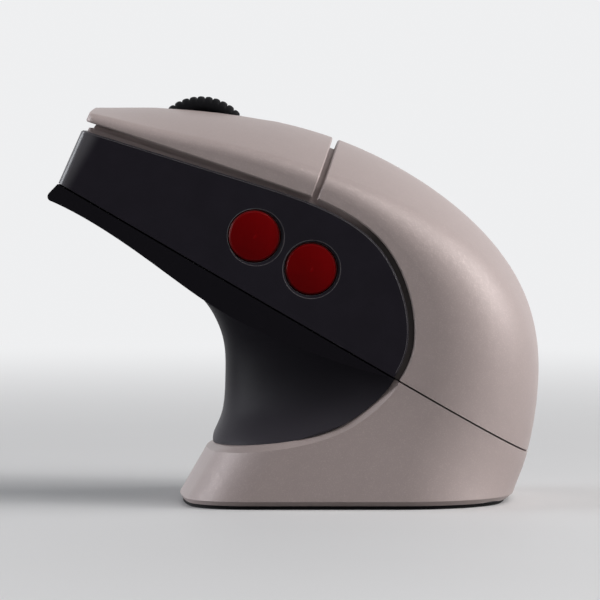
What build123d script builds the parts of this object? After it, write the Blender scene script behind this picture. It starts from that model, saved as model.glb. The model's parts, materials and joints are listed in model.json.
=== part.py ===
from build123d import *
import math
import os

os.makedirs("parts", exist_ok=True)

# Wireless mouse sitting nose up on its charging stand.
# World axes: the nose points to -X, the side buttons face -Y, +Z is up, the table is z = 0.
# Mouse axes: u runs from the nose to the rear along the sole, v stands square to the sole.

# Whole object
TILT = 30.0             # slope of the sole on the stand
NOSE_X = -51.42         # front lower corner of the mouse
NOSE_Z = 70.29
SOLE = 118.6            # length of the mouse along its sole
SPAN = 50.0             # half length of the cuts made across the object

# Mouse shells
WALL = 2.0
FLOOR = 2.0
KEY_WALL = 1.6
FIT = 0.15              # gap between fixed shells
DECK_DEPTH = 1.2        # how far the frame lies below the outer surface
FRAME_T = 2.0
GROOVE = 1.25           # groove between the dark panel and the light shell
STRIP = [1.05, 0.45]    # strip of the frame that shows under the main buttons, at the nose and the rear
EDGE = 0.3              # chamfer along the shells' outer edges
RIM_EDGE = 1.3          # chamfer along the stand's rim round the neck
KEY_SPLIT = 1.0         # gap between the two main buttons

# Sections of the mouse, from the nose round to the rear end of the sole:
# foot of the section on the sole, its top (u, v), half width, corner radius, crown
STATIONS = [
    (0.0, -3.2, 17.1, 27.0, 1.8, 1.3),
    (8.6, 8.1, 23.6, 27.8, 2.4, 4.6),
    (21.5, 21.5, 30.2, 28.8, 3.0, 7.2),
    (35.0, 36.0, 35.6, 30.0, 3.6, 8.5),
    (46.0, 50.0, 38.75, 31.0, 4.6, 9.0),
    (54.0, 64.0, 39.75, 31.5, 7.0, 8.8),
    (59.5, 78.0, 38.6, 31.6, 11.0, 8.4),
    (63.5, 91.0, 35.0, 31.6, 15.0, 8.0),
    (66.5, 101.2, 29.2, 31.6, 19.0, 7.6),
    (69.0, 109.0, 21.0, 31.6, 22.0, 7.2),
    (71.0, 114.7, 10.8, 31.6, 24.0, 7.0),
    (73.0, SOLE, 0.0, 31.6, 25.0, 6.8),
]
NOSE_LEAN = 6.0
NOSE_CORNER = 2.0

# Main buttons
HINGE_U, HINGE_V = 43.5, 27.0
HINGE_PIN = 2.0
HINGE_HALF = 24.0
KEY_LUGS = [4.5, 20.0]      # distance of a button's two lugs from the middle
FRAME_LUGS = [1.8, 23.0]
LUG_T = 1.8
HINGE_EYE = 2.2
KEY_LUG = [(HINGE_U - HINGE_EYE, 45.0), (HINGE_U - HINGE_EYE, HINGE_V), (HINGE_U + HINGE_EYE, HINGE_V),
           (HINGE_U + HINGE_EYE, 45.0)]
FRAME_LUG = [(HINGE_U - 2.6, HINGE_V - 2.6), (HINGE_U - 2.6, HINGE_V + 1.6), (46.9, 36.0), (50.0, 40.0),
             (50.0, 27.0), (HINGE_U + 2.6, HINGE_V - 2.6)]
CLICK_U, CLICK_Y = 12.0, 13.0

# Side buttons
SIDE_BUTTONS = [(42.4, 11.3), (56.5, 11.3)]
CAP = 10.9
CAP_HOLE = 11.6
CAP_FLANGE = 13.0
CAP_STEM = 4.6              # from the wall's outer face to the end of the stem
CAP_DOME = 0.62             # how far the cap stands proud of the wall
CAP_Y = [30.62, 31.3]       # outer face of the left wall beside each button
SIDE_BOARD_Y = 19.3

# Scroll wheel
WHEEL_U, WHEEL_V = 22.6, 21.5
WHEEL_R = 11.6
WHEEL_W = 7.0
RIBS = 40
AXLE = 2.0
TYRE_BORE = 9.0
RIB = 0.5
WHEEL_SLOT = 9.4
CARRIER_LOW = 8.0
ARM_IN, ARM_OUT = 4.7, 6.2

# Electronics in the mouse
BOARD_LOW, BOARD_TOP = 4.5, 5.7
BOARD_OUTLINE = [(6.0, -18.0), (33.0, -18.0), (35.0, -21.0), (77.0, -21.0), (77.0, 21.0), (35.0, 21.0),
                 (33.0, 18.0), (6.0, 18.0)]
BOARD_POST = 2.4
SENSOR_U = 52.0
SENSOR_WINDOW = (11.0, 8.0)
LENS_PLATE = (17.0, 13.0, 1.2)
PAD_U = 72.0
PAD_YS = [-4.5, -1.5, 1.5, 4.5]
PAD_R = 1.2
MAGNETS = [(40.0, -12.0), (40.0, 12.0), (88.0, -12.0), (88.0, 12.0)]
FRAME_SCREWS = [(9.0, -21.6), (9.0, 21.6), (70.0, -25.0), (70.0, 25.0)]
SHELL_SCREWS = [(96.0, -22.5), (96.0, 22.5)]
BOARD_SCREWS = [(30.0, -15.0), (30.0, 15.0), (74.0, -14.0), (74.0, 14.0)]
BATTERY_RIBS = [82.0, 102.0]
BATTERY_LOW = 4.0
BATTERY_U = 93.0
BATTERY = (26.0, 34.0, 7.0)
MAGNET_R, MAGNET_T = 4.0, 1.8
MODE_AT = (62.0, -13.0)
MODE_SLOT = (9.0, 3.4)
MODE_REST = 2.0         # how far the slider rests from the middle of its slot
PAIR_AT = (62.0, 13.0)
PAIR_R = 2.0
SIDE_BOARD = (30.0, 10.8, 1.2)
SIDE_SWITCH = 3.9
SWITCH_TOP = 12.2
SKATES = [(18.5, 6.0, 30.0), (106.0, 6.0, 24.0)]    # u, width, length across
SKATE_T = 0.6

# Charging sockets, screws and seats
PORT_SLOT = (9.6, 3.9)      # opening in the shell
PORT_SHELL = (8.94, 3.26)   # metal shell of the socket
PORT_T = 0.32
PORT_LENGTH = 7.6
PORT_V = 6.6
SCREW_CLEAR = 1.15
SCREW_SINK = 2.3
SCREW_PILOT = 0.85
SEAT = 0.05                 # gap under a piece that lies on another
ROOT = 0.5                  # how far the foot of a post is sunk into its floor

# Stand
SPLIT_GAP = 0.35        # dark line between the mouse and the stand
NECK_GAP = 0.05
FOOT_H = 0.8
LEDGE_Z = 13.3
CAVITY = (13.5, 62.0, 56.0)     # centre, length and width of the hollow in the base
CAVITY_CORNER = 12.0
CAVITY_TOP = 9.0
CRADLE_T = 1.6
CRADLE_EDGE = 3.0
BOTTOM_T = 1.8
BOARD_Z = 3.2
DOCK_SOCKET_Z = 6.4
CONTACT_BLOCK = (6.0, 15.0, 7.0)
DUCT = (6.4, 0.0)
DUCT_R = 4.0
LEAD_R = 1.5
LEAD_BEND = 4.5
LEAD_Z = 6.3
DOCK_BOARD = (22.0, 24.0, 1.6)
DOCK_BOARD_X = 31.5
DOCK_MAGNET_T = 2.5
PIN_R = 0.75
BALLAST = (32.0, 34.0, 4.2)
FOOT_INSET = 1.6
NECK_SCREWS = [(0.0, -12.0), (0.0, 12.0)]
BASE_SCREWS = [(-12.0, -22.0), (-12.0, 22.0), (36.0, -20.0), (36.0, 20.0)]
STAND_MIDDLE = 60.0

# Sections of the stand on planes that turn about the line where the split plane meets the table:
# slope, distance to the rear end and to the front end, half width, rear corner radius
STAND_STATIONS = [
    (0.0, 22.7, 97.1, 34.0, 23.5),
    (10.0, 21.83, 89.5, 32.9, 24.2),
    (20.0, 21.4, 85.5, 32.0, 24.6),
    (TILT, 21.98, 84.3, 31.6, 25.0),
]
STAND_FRONT = (4.5, 14.0)       # crown and corner radius of its front
STAND_REAR_CROWN = 6.8

# Level sections of the neck: height, front x, half width and depth of the rounded front,
# x and half width where the section ends
NECK_STATIONS = [
    (LEDGE_Z - 1.0, -18.3, 27.6, 9.5, 25.0, 33.5),
    (15.8, -17.9, 25.4, 10.0, 25.0, 33.5),
    (19.4, -16.5, 23.0, 10.5, 25.0, 33.5),
    (26.5, -15.8, 20.4, 10.5, 24.0, 33.2),
    (32.1, -15.8, 19.8, 10.0, 17.5, 33.0),
    (38.5, -17.2, 20.3, 9.0, 5.2, 32.6),
    (43.5, -20.0, 21.4, 8.0, -3.5, 32.0),
    (47.7, -24.3, 22.8, 7.0, -10.8, 31.4),
    (52.0, -29.9, 24.6, 6.0, -18.2, 30.6),
    (56.0, -35.4, 26.0, 5.0, -25.2, 30.0),
]

COS, SIN = math.cos(math.radians(TILT)), math.sin(math.radians(TILT))
PIVOT_X = NOSE_X + SOLE * COS + (NOSE_Z - SOLE * SIN) * COS / SIN   # where the split plane meets the table
SIDE = Plane(origin=(NOSE_X, 0, NOSE_Z), x_dir=(COS, 0, -SIN), z_dir=(0, -1, 0))
FRONT_VIEW = Plane(origin=(0, 0, 0), x_dir=(1, 0, 0), z_dir=(0, -1, 0))
INTO_STAND = Plane(origin=(NOSE_X, 0, NOSE_Z), x_dir=(0, 1, 0), z_dir=(-SIN, 0, -COS))  # local y is u


def at(u, v, y=0.0):
    """World point of a place in the mouse."""
    return Vector(NOSE_X + u * COS + v * SIN, y, NOSE_Z - u * SIN + v * COS)


def level(v):
    """Plane parallel to the sole at height v; local x is u, local y is the world's."""
    return Plane(origin=at(0, v), x_dir=(COS, 0, -SIN), z_dir=(SIN, 0, COS))


def rounded_corner(half, top, crown, radius):
    """Where a corner arc leaves a straight side, its middle, and where it meets the crown."""
    big = (half * half + crown * crown) / (2 * crown)
    centre = top - big
    x = half - radius
    y = centre + math.sqrt((big - radius) ** 2 - x * x)
    scale = big / (big - radius)
    end_x, end_y = x * scale, centre + (y - centre) * scale
    middle = math.atan2(end_y - y, end_x - x) / 2
    return (half, y), (x + radius * math.cos(middle), y + radius * math.sin(middle)), (end_x, end_y)


def crowned_end(half, top, crown, radius):
    """Corner, crown and corner across one end of an outline; returns where its sides start."""
    side, middle, meet = rounded_corner(half, abs(top), crown, radius)
    flip = 1 if top > 0 else -1
    ThreePointArc((side[0], flip * side[1]), (middle[0], flip * middle[1]), (meet[0], flip * meet[1]))
    ThreePointArc((meet[0], flip * meet[1]), (0, top), (-meet[0], flip * meet[1]))
    ThreePointArc((-meet[0], flip * meet[1]), (-middle[0], flip * middle[1]), (-side[0], flip * side[1]))
    return flip * side[1]


forms = {}


def mouse_form(inset):
    """Outer form of the mouse above its sole, drawn in by a wall thickness."""
    if inset not in forms:
        forms[inset] = make_form(inset)
    return forms[inset]


def make_form(inset):
    """Loft the sections, drawn in, and cut the leaning nose."""
    nose_half = STATIONS[0][3] + 0.05 - inset
    with BuildPart() as form:
        for number, (foot, top_u, top_v, half, corner, crown) in enumerate(STATIONS):
            shift = inset if number == 0 else 0
            foot_at, top_at = at(foot + shift, 0), at(top_u + shift, top_v)
            up = (top_at - foot_at).normalized()
            plane = Plane(origin=foot_at, x_dir=(0, 1, 0), z_dir=Vector(0, 1, 0).cross(up))
            half_in = half - inset
            height = (top_at - foot_at).length - inset
            with BuildSketch(plane):
                with BuildLine():
                    start = crowned_end(half_in, height, crown, max(corner - inset, 0.8))
                    Polyline((-half_in, start), (-half_in, 0), (half_in, 0), (half_in, start))
                make_face()
        loft()
        # Nose: a leaning front with rounded corners in plan
        with BuildSketch(level(0)) as nose:
            with BuildLine():
                Polyline((inset, -nose_half), (6, -nose_half - 0.6), (30, -SPAN), (SOLE + 20, -SPAN),
                         (SOLE + 20, SPAN), (30, SPAN), (6, nose_half + 0.6), (inset, nose_half), close=True)
            make_face()
            front = nose.vertices().sort_by(lambda corner: corner.X - corner.Z)[:2]
            fillet(front, max(NOSE_CORNER - inset, 0.6))
        lean = math.radians(NOSE_LEAN)
        extrude(amount=SPAN, dir=at(-math.sin(lean), math.cos(lean)) - at(0, 0), mode=Mode.INTERSECT)
    return form.part


def slab(inset, low, high=None):
    """The part of the mouse form, drawn in by a wall, between two levels above the sole."""
    with BuildPart() as piece:
        add(mouse_form(inset))
        if low > 0:
            split(bisect_by=level(low), keep=Keep.TOP)
        if high is not None:
            split(bisect_by=level(high), keep=Keep.BOTTOM)
    return piece.part


def across(face, low=-SPAN, high=SPAN):
    """A side outline carried across the object between two y values."""
    with BuildPart() as prism:
        with BuildSketch(FRONT_VIEW.offset(-high)):
            add(face)
        extrude(amount=high - low)
    return prism.part


def place_on_side(sketch):
    """A sketch drawn in mouse axes, turned to the slope of the sole for a front view plane."""
    return sketch.rotate(Axis.Z, -TILT).moved(Location((NOSE_X, NOSE_Z, 0)))


def panel_outline(grow=0.0, nose_grow=None):
    """Dark side panel seen from the left, open below the sole; grow moves its top edge outward."""
    with BuildLine(mode=Mode.PRIVATE):
        front = Line((-12.0, 10.02), (35.0, 20.7))
        rear = Spline(front @ 1, (50.0, 23.6), (60.5, 24.0), (71.4, 20.5), (79.6, 12.7), (83.7, 0.0),
                      tangents=(front % 1, (-0.08, -1)))
    grown = [grow if nose_grow is None else nose_grow] + [grow] * 7
    places = [line.position_at(t) + line.tangent_at(t).rotate(Axis.Z, 90) * out
              for (line, t), out in zip([(front, 0)] + [(rear, step / 6) for step in range(7)], grown)]
    with BuildSketch() as panel:
        with BuildLine():
            Line(places[0], places[1])
            Spline(*places[1:], tangents=(places[1] - places[0], (-0.08, -1)))
            Polyline(places[-1], (places[-1].X, -30), (-12, -30), places[0])
        make_face()
    return place_on_side(panel.sketch)


def key_outline():
    """Main button seen from the left."""
    with BuildSketch() as key:
        with BuildLine():
            low = ThreePointArc((-12.0, 12.1), (24.0, 19.9), (49.0, 24.75))
            Polyline(low @ 1, (46.3, 40.4), (46.3, 60), (-12, 60), low @ 0)
        make_face()
    return place_on_side(key.sketch)


def behind_split():
    """Everything behind the gap at the rear of the main buttons, seen from the left."""
    with BuildSketch() as rear:
        with BuildLine():
            Polyline((50.3, 24.4), (47.55, 40.4), (47.55, 60), (140, 60), (140, -5), (55, -5), (50.3, 20),
                     close=True)
        make_face()
    return place_on_side(rear.sketch)


def cut_edges(part, towards):
    """Outer edges of the faces that cuts across the object left, where these face a direction."""
    cuts = [(face, face.normal_at(face.center())) for face in part.faces()
            if face.geom_type != GeomType.BSPLINE]
    cuts = [(face, normal) for face, normal in cuts if abs(normal.Y) < 0.02]
    borders = [edge for face, normal in cuts for edge in face.edges()]
    return [edge for face, normal in cuts if normal.dot(towards) > 0.2
            for edge in face.edges() if borders.count(edge) == 1]


def countersinks(places, walls, radius, depth):
    """Cones that chamfer round openings in the left wall."""
    with BuildPart(mode=Mode.PRIVATE) as group:
        for place, wall_y in zip(places, walls):
            with BuildSketch(turning(*place, y=-wall_y)):
                with BuildLine():
                    Polyline((0, depth), (radius, depth), (radius + 3 * depth, -2 * depth), (0, -2 * depth),
                             close=True)
                make_face()
            revolve(axis=Axis(at(*place), (0, 1, 0)))
    return group.part


def turning(u, v, y=0.0):
    """Plane through an axis across the mouse; local x is the radius, local y the world's."""
    return Plane(origin=at(u, v, y), x_dir=(SIN, 0, COS), z_dir=(-COS, 0, SIN))


def block(u, y, v, length, width, height):
    """Block square to the sole, centred on u and y, standing on level v."""
    with BuildPart(mode=Mode.PRIVATE) as solid:
        with BuildSketch(level(v)):
            with Locations((u, y)):
                Rectangle(length, width)
        extrude(amount=height)
    return solid.part


def posts(places, v, radius, height):
    """Round posts or holes square to the sole, standing on level v."""
    with BuildPart(mode=Mode.PRIVATE) as group:
        with BuildSketch(level(v)):
            with Locations(*places):
                Circle(radius)
        extrude(amount=height)
    return group.part


def bosses(places, v, radius, inset):
    """Posts that rise from level v until they merge with a shell."""
    with BuildPart(mode=Mode.PRIVATE) as group:
        add(posts(places, v, radius, SPAN))
        add(mouse_form(inset), mode=Mode.INTERSECT)
    return group.part


def cross_wall(outline, y, inset, eye=0):
    """Lug of a side-view outline, centred on y, ending below the outer form; eye rounds its hinge end."""
    with BuildPart(mode=Mode.PRIVATE) as wall:
        with BuildSketch(SIDE.offset(-y - LUG_T / 2)):
            with BuildLine():
                Polyline(*outline, close=True)
            make_face()
            if eye:
                with Locations((HINGE_U, HINGE_V)):
                    Circle(eye)
        extrude(amount=LUG_T)
        add(mouse_form(inset), mode=Mode.INTERSECT)
    return wall.part


def screws(places, plane, head, thread, length, thickness=1.0):
    """Screws driven along the plane's normal, with the heads' outer faces on it."""
    with BuildPart(mode=Mode.PRIVATE) as group:
        with BuildSketch(plane):
            with Locations(*places):
                Circle(head / 2)
        extrude(amount=thickness)
        with BuildSketch(plane.offset(thickness)):
            with Locations(*places):
                Circle(thread / 2)
        extrude(amount=length)
        with BuildSketch(plane):
            with Locations(*places):
                RegularPolygon(head * 0.26, 6)
        extrude(amount=thickness * 0.6, mode=Mode.SUBTRACT)
    return group.part


# Forms that several pieces share
outer_form = mouse_form(0)
panel_prism = across(panel_outline())
key_prism = across(key_outline())

# Lower body of the mouse: dark side walls, nose wall and floor
with BuildPart() as mouse_tub:
    add(outer_form)
    add(panel_prism, mode=Mode.INTERSECT)
    chamfer(cut_edges(mouse_tub, Vector(SIN, 0, COS)), EDGE)
    add(slab(WALL, FLOOR), mode=Mode.SUBTRACT)
    add(slab(WALL + FIT, 0, FLOOR))
    add(posts(BOARD_SCREWS, FLOOR - ROOT, BOARD_POST, BOARD_LOW - FLOOR + ROOT))
    for rib_u in BATTERY_RIBS:
        add(block(rib_u, 0, FLOOR - ROOT, 1.6, BATTERY[1] - 4, BATTERY_LOW - FLOOR + ROOT))
    # Side button holes in the left wall
    with BuildSketch(SIDE.offset(SIDE_BOARD_Y)):
        with Locations(*SIDE_BUTTONS):
            Circle(CAP_HOLE / 2)
    extrude(amount=SPAN, mode=Mode.SUBTRACT)
    add(countersinks(SIDE_BUTTONS, CAP_Y, CAP_HOLE / 2, EDGE), mode=Mode.SUBTRACT)
    # Charging socket opening in the nose
    with BuildSketch(Plane(origin=at(-10, PORT_V), x_dir=(0, 1, 0), z_dir=(COS, 0, -SIN))):
        SlotOverall(*PORT_SLOT)
    extrude(amount=14, mode=Mode.SUBTRACT)
    # Screw holes with counterbores, and openings in the floor
    add(posts(FRAME_SCREWS + SHELL_SCREWS, -1, SCREW_CLEAR, 6), mode=Mode.SUBTRACT)
    add(posts(FRAME_SCREWS + SHELL_SCREWS, -1, SCREW_SINK, 2.1), mode=Mode.SUBTRACT)
    add(posts(BOARD_SCREWS, FLOOR + 0.4, 0.8, 4), mode=Mode.SUBTRACT)
    add(posts([(PAD_U, y) for y in PAD_YS], -1, PAD_R + SEAT, 6), mode=Mode.SUBTRACT)
    with BuildSketch(level(-1)):
        with Locations((SENSOR_U, 0)):
            RectangleRounded(*SENSOR_WINDOW, 2.5)
        with Locations(MODE_AT):
            SlotOverall(*MODE_SLOT)
        with Locations(PAIR_AT):
            Circle(PAIR_R + 0.3)
    extrude(amount=6, mode=Mode.SUBTRACT)
mouse_tub.part.label = "mouse_tub"
export_step(mouse_tub.part, "parts/mouse_tub.step")

# Light rear shell with its screw bosses
with BuildPart() as rear_shell:
    add(outer_form)
    add(across(behind_split()), mode=Mode.INTERSECT)
    add(across(panel_outline(GROOVE)), mode=Mode.SUBTRACT)
    chamfer(cut_edges(rear_shell, Vector(-COS, 0, SIN)), EDGE)
    add(mouse_form(WALL), mode=Mode.SUBTRACT)
    add(bosses(SHELL_SCREWS, FLOOR + FIT, 3.0, 1.0))
    add(posts(SHELL_SCREWS, FLOOR, SCREW_PILOT, 9), mode=Mode.SUBTRACT)
rear_shell.part.label = "rear_shell"
export_step(rear_shell.part, "parts/rear_shell.step")

# Light frame between the lower body and the buttons: a ring that shows as the strip under the
# buttons and as the groove round the panel, an arch under the gap behind the buttons, hinge lugs
with BuildPart() as strip_band:
    add(across(panel_outline(GROOVE)))
    add(across(behind_split()), mode=Mode.INTERSECT)
    add(across(panel_outline(STRIP[1], STRIP[0])))
    add(panel_prism, mode=Mode.SUBTRACT)

with BuildPart() as inner_band:
    add(across(panel_outline(3.2)))
    add(across(panel_outline(-2.4)), mode=Mode.SUBTRACT)

with BuildPart() as arch_band:
    with BuildSketch(SIDE):
        with BuildLine():
            Polyline((46.6, 20.5), (45.6, 45), (53, 45), (54, 20.5), close=True)
        make_face()
    extrude(amount=SPAN, both=True)

with BuildPart() as frame_rim:
    add(mouse_form(DECK_DEPTH))
    add(strip_band.part, mode=Mode.INTERSECT)
    add(mouse_form(WALL + FIT + FRAME_T), mode=Mode.SUBTRACT)

with BuildPart() as frame_arch:
    add(mouse_form(WALL + 0.4))
    add(arch_band.part, mode=Mode.INTERSECT)
    add(mouse_form(WALL + 0.6 + FRAME_T), mode=Mode.SUBTRACT)

with BuildPart() as screw_posts:
    add(bosses(FRAME_SCREWS, FLOOR + SEAT, 2.7, WALL + FIT + 0.3))
    add(across(panel_outline(3.2)), mode=Mode.INTERSECT)

with BuildPart() as mid_frame:
    add(mouse_form(WALL + FIT))
    add(inner_band.part, mode=Mode.INTERSECT)
    add(mouse_form(WALL + FIT + FRAME_T), mode=Mode.SUBTRACT)
    add(frame_rim.part)
    add(frame_arch.part)
    for lug_y in [-FRAME_LUGS[1], -FRAME_LUGS[0], FRAME_LUGS[0], FRAME_LUGS[1]]:
        add(cross_wall(FRAME_LUG, lug_y, WALL + 0.4))
    add(slab(WALL + FIT / 2, 0, FLOOR + SEAT), mode=Mode.SUBTRACT)
    add(screw_posts.part)
    add(posts(FRAME_SCREWS, FLOOR, SCREW_PILOT, 9), mode=Mode.SUBTRACT)
    with BuildSketch(SIDE):
        with Locations((HINGE_U, HINGE_V)):
            Circle(HINGE_PIN / 2)
    extrude(amount=HINGE_HALF + 0.5, both=True, mode=Mode.SUBTRACT)
mid_frame.part.label = "mid_frame"
export_step(mid_frame.part, "parts/mid_frame.step")


def main_button(hand):
    """Left (-1) or right (+1) main button: a curved shell with a click post and two hinge lugs."""
    with BuildPart() as button:
        add(outer_form)
        add(key_prism, mode=Mode.INTERSECT)
        chamfer(cut_edges(button, Vector(0.6, 0, -1)), EDGE)
        add(mouse_form(KEY_WALL), mode=Mode.SUBTRACT)
        split(bisect_by=Plane.XZ.offset(-hand * KEY_SPLIT / 2), keep=Keep.BOTTOM if hand > 0 else Keep.TOP)
        with BuildSketch(level(0)):
            with Locations((WHEEL_U - 1.0, 0)):
                SlotOverall(2 * WHEEL_R + 1.4, WHEEL_SLOT)
        extrude(amount=SPAN, mode=Mode.SUBTRACT)
        add(bosses([(CLICK_U, hand * CLICK_Y)], 13.0, 1.6, 0.9))
        for lug_y in KEY_LUGS:
            add(cross_wall(KEY_LUG, hand * lug_y, KEY_WALL / 2, eye=HINGE_EYE))
        with BuildSketch(SIDE):
            with Locations((HINGE_U, HINGE_V)):
                Circle(HINGE_PIN / 2 + 0.06)
        extrude(amount=HINGE_HALF + 4, both=True, mode=Mode.SUBTRACT)
    return button.part


with BuildPart() as left_button:
    add(main_button(-1))
left_button.part.label = "left_button"
export_step(left_button.part, "parts/left_button.step")

with BuildPart() as right_button:
    add(main_button(1))
right_button.part.label = "right_button"
export_step(right_button.part, "parts/right_button.step")

with BuildPart() as button_hinge_pin:
    with BuildSketch(SIDE):
        with Locations((HINGE_U, HINGE_V)):
            Circle(HINGE_PIN / 2)
    extrude(amount=HINGE_HALF, both=True)
    chamfer(button_hinge_pin.edges().filter_by(GeomType.CIRCLE), 0.3)
button_hinge_pin.part.label = "button_hinge_pin"
export_step(button_hinge_pin.part, "parts/button_hinge_pin.step")


def side_button(place, wall_y):
    """Domed round cap with a flange behind the wall and a stem to its switch, turned about its axis."""
    rim = CAP / 2 - 0.3
    ball = (rim * rim + CAP_DOME * CAP_DOME) / (2 * CAP_DOME)
    half_y = ball - CAP_DOME - math.sqrt(ball * ball - rim * rim / 4)
    with BuildPart() as button:
        with BuildSketch(turning(*place, y=-wall_y)):
            with BuildLine():
                stem = Polyline((0, CAP_STEM), (1.5, CAP_STEM), (1.5, 3.5), (CAP_FLANGE / 2, 3.5),
                                (CAP_FLANGE / 2, 2.75), (CAP / 2, 2.75), (CAP / 2, 0.3), (rim, 0))
                dome = ThreePointArc(stem @ 1, (rim / 2, half_y), (0, -CAP_DOME))
                Line(dome @ 1, stem @ 0)
            make_face()
        revolve(axis=Axis(at(*place), (0, 1, 0)))
    return button.part


with BuildPart() as forward_button:
    add(side_button(SIDE_BUTTONS[0], CAP_Y[0]))
forward_button.part.label = "forward_button"
export_step(forward_button.part, "parts/forward_button.step")

with BuildPart() as back_button:
    add(side_button(SIDE_BUTTONS[1], CAP_Y[1]))
back_button.part.label = "back_button"
export_step(back_button.part, "parts/back_button.step")

# Scroll wheel: hub with rim and web, ribbed rubber tyre, steel axle
wheel_axis = Axis(at(WHEEL_U, WHEEL_V), (0, 1, 0))

with BuildPart() as wheel_hub:
    with BuildSketch(turning(WHEEL_U, WHEEL_V)) as hub_profile:
        with BuildLine():
            Polyline((AXLE / 2, 0), (AXLE / 2, 3.6), (2.6, 3.6), (2.6, 1.2), (TYRE_BORE - 1.5, 1.2),
                     (TYRE_BORE - 1.5, 3.1), (TYRE_BORE, 3.1), (TYRE_BORE, 0), close=True)
        make_face()
        mirror(about=Plane.XZ)
    revolve(axis=wheel_axis)
    with BuildSketch(SIDE.offset(-2)):
        with Locations((WHEEL_U, WHEEL_V)):
            with PolarLocations(5.1, 6):
                Circle(1.5)
    extrude(amount=4, mode=Mode.SUBTRACT)
wheel_hub.part.label = "wheel_hub"
export_step(wheel_hub.part, "parts/wheel_hub.step")

with BuildPart() as wheel_tyre:
    with BuildSketch(SIDE.offset(-WHEEL_W / 2)):
        with Locations((WHEEL_U, WHEEL_V)):
            Circle(WHEEL_R - RIB)
            with PolarLocations(WHEEL_R - RIB, RIBS):
                Circle(RIB)
            Circle(TYRE_BORE, mode=Mode.SUBTRACT)
    extrude(amount=WHEEL_W)
    with BuildSketch(turning(WHEEL_U, WHEEL_V)):
        with BuildLine():
            Polyline((TYRE_BORE - 1, 0), (TYRE_BORE - 1, 3.5), (WHEEL_R - 1.3, 3.5), (WHEEL_R - 0.25, 2.6),
                     (WHEEL_R + 0.1, 0), close=True)
        make_face()
        mirror(about=Plane.XZ)
    revolve(axis=wheel_axis, mode=Mode.INTERSECT)
wheel_tyre.part.label = "wheel_tyre"
export_step(wheel_tyre.part, "parts/wheel_tyre.step")

with BuildPart() as wheel_axle:
    with BuildSketch(SIDE.offset(-9.6)):
        with Locations((WHEEL_U, WHEEL_V)):
            Circle(AXLE / 2)
    extrude(amount=17)
wheel_axle.part.label = "wheel_axle"
export_step(wheel_axle.part, "parts/wheel_axle.step")

# Wheel carrier: a yoke that slides down to work the wheel click switch
with BuildPart() as wheel_carrier:
    add(block(WHEEL_U, 0, CARRIER_LOW, 20, 2 * ARM_OUT, 1.2))
    add(block(WHEEL_U, 0, CARRIER_LOW, 22.2, 1.2, 1.2))
    for arm_y in (ARM_IN, -ARM_OUT):
        with BuildSketch(SIDE.offset(arm_y)):
            with BuildLine():
                Polyline((WHEEL_U - 6, CARRIER_LOW), (WHEEL_U + 6, CARRIER_LOW), (WHEEL_U + 2.6, WHEEL_V),
                         (WHEEL_U - 2.6, WHEEL_V), close=True)
            make_face()
            with Locations((WHEEL_U, WHEEL_V)):
                Circle(2.6)
        extrude(amount=ARM_OUT - ARM_IN)
    with BuildSketch(SIDE.offset(-10)):
        with Locations((WHEEL_U, WHEEL_V)):
            Circle(AXLE / 2 + 0.05)
    extrude(amount=20, mode=Mode.SUBTRACT)
wheel_carrier.part.label = "wheel_carrier"
export_step(wheel_carrier.part, "parts/wheel_carrier.step")

with BuildPart() as carrier_guides:
    for guide_u in (WHEEL_U - 12.0, WHEEL_U + 12.0):
        add(block(guide_u, 0, BOARD_TOP, 3.0, 4.4, 7.0))
    add(block(WHEEL_U, 0, BOARD_TOP + 0.8, 24.0, 1.5, 8.0), mode=Mode.SUBTRACT)
carrier_guides.part.label = "carrier_guides"
export_step(carrier_guides.part, "parts/carrier_guides.step")

with BuildPart() as wheel_encoder:
    with BuildSketch(SIDE.offset(-9.8)):
        with Locations((WHEEL_U, WHEEL_V)):
            RectangleRounded(9, 9, 1)
            Circle(AXLE / 2 + 0.05, mode=Mode.SUBTRACT)
    extrude(amount=9.8 - ARM_OUT)
wheel_encoder.part.label = "wheel_encoder"
export_step(wheel_encoder.part, "parts/wheel_encoder.step")

with BuildPart() as wheel_click_switch:
    add(block(WHEEL_U, 0, BOARD_TOP, 6, 6, 1.6))
    add(posts([(WHEEL_U, 0)], BOARD_TOP + 0.5, 1.4, 2), mode=Mode.SUBTRACT)
wheel_click_switch.part.label = "wheel_click_switch"
export_step(wheel_click_switch.part, "parts/wheel_click_switch.step")

with BuildPart() as wheel_click_plunger:
    add(posts([(WHEEL_U, 0)], BOARD_TOP + 1.1, 1.3, CARRIER_LOW - BOARD_TOP - 1.15))
wheel_click_plunger.part.label = "wheel_click_plunger"
export_step(wheel_click_plunger.part, "parts/wheel_click_plunger.step")

# Click switches under the main buttons
with BuildPart() as click_switches:
    for hand in (-1, 1):
        add(block(CLICK_U, hand * CLICK_Y, BOARD_TOP, 12.8, 5.8, SWITCH_TOP - BOARD_TOP))
        add(block(CLICK_U, hand * CLICK_Y, SWITCH_TOP - 1.8, 2.8, 1.6, 3), mode=Mode.SUBTRACT)
click_switches.part.label = "click_switches"
export_step(click_switches.part, "parts/click_switches.step")

with BuildPart() as left_click_plunger:
    add(block(CLICK_U, -CLICK_Y, SWITCH_TOP - 1.2, 2.6, 1.4, 1.95))
left_click_plunger.part.label = "left_click_plunger"
export_step(left_click_plunger.part, "parts/left_click_plunger.step")

with BuildPart() as right_click_plunger:
    add(block(CLICK_U, CLICK_Y, SWITCH_TOP - 1.2, 2.6, 1.4, 1.95))
right_click_plunger.part.label = "right_click_plunger"
export_step(right_click_plunger.part, "parts/right_click_plunger.step")

# Side board with the two switches behind the red buttons
with BuildPart() as side_board:
    with BuildSketch(SIDE.offset(SIDE_BOARD_Y)):
        with Locations((49.4, 11.2)):
            Rectangle(*SIDE_BOARD[:2])
    extrude(amount=SIDE_BOARD[2])
side_board.part.label = "side_board"
export_step(side_board.part, "parts/side_board.step")

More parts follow.
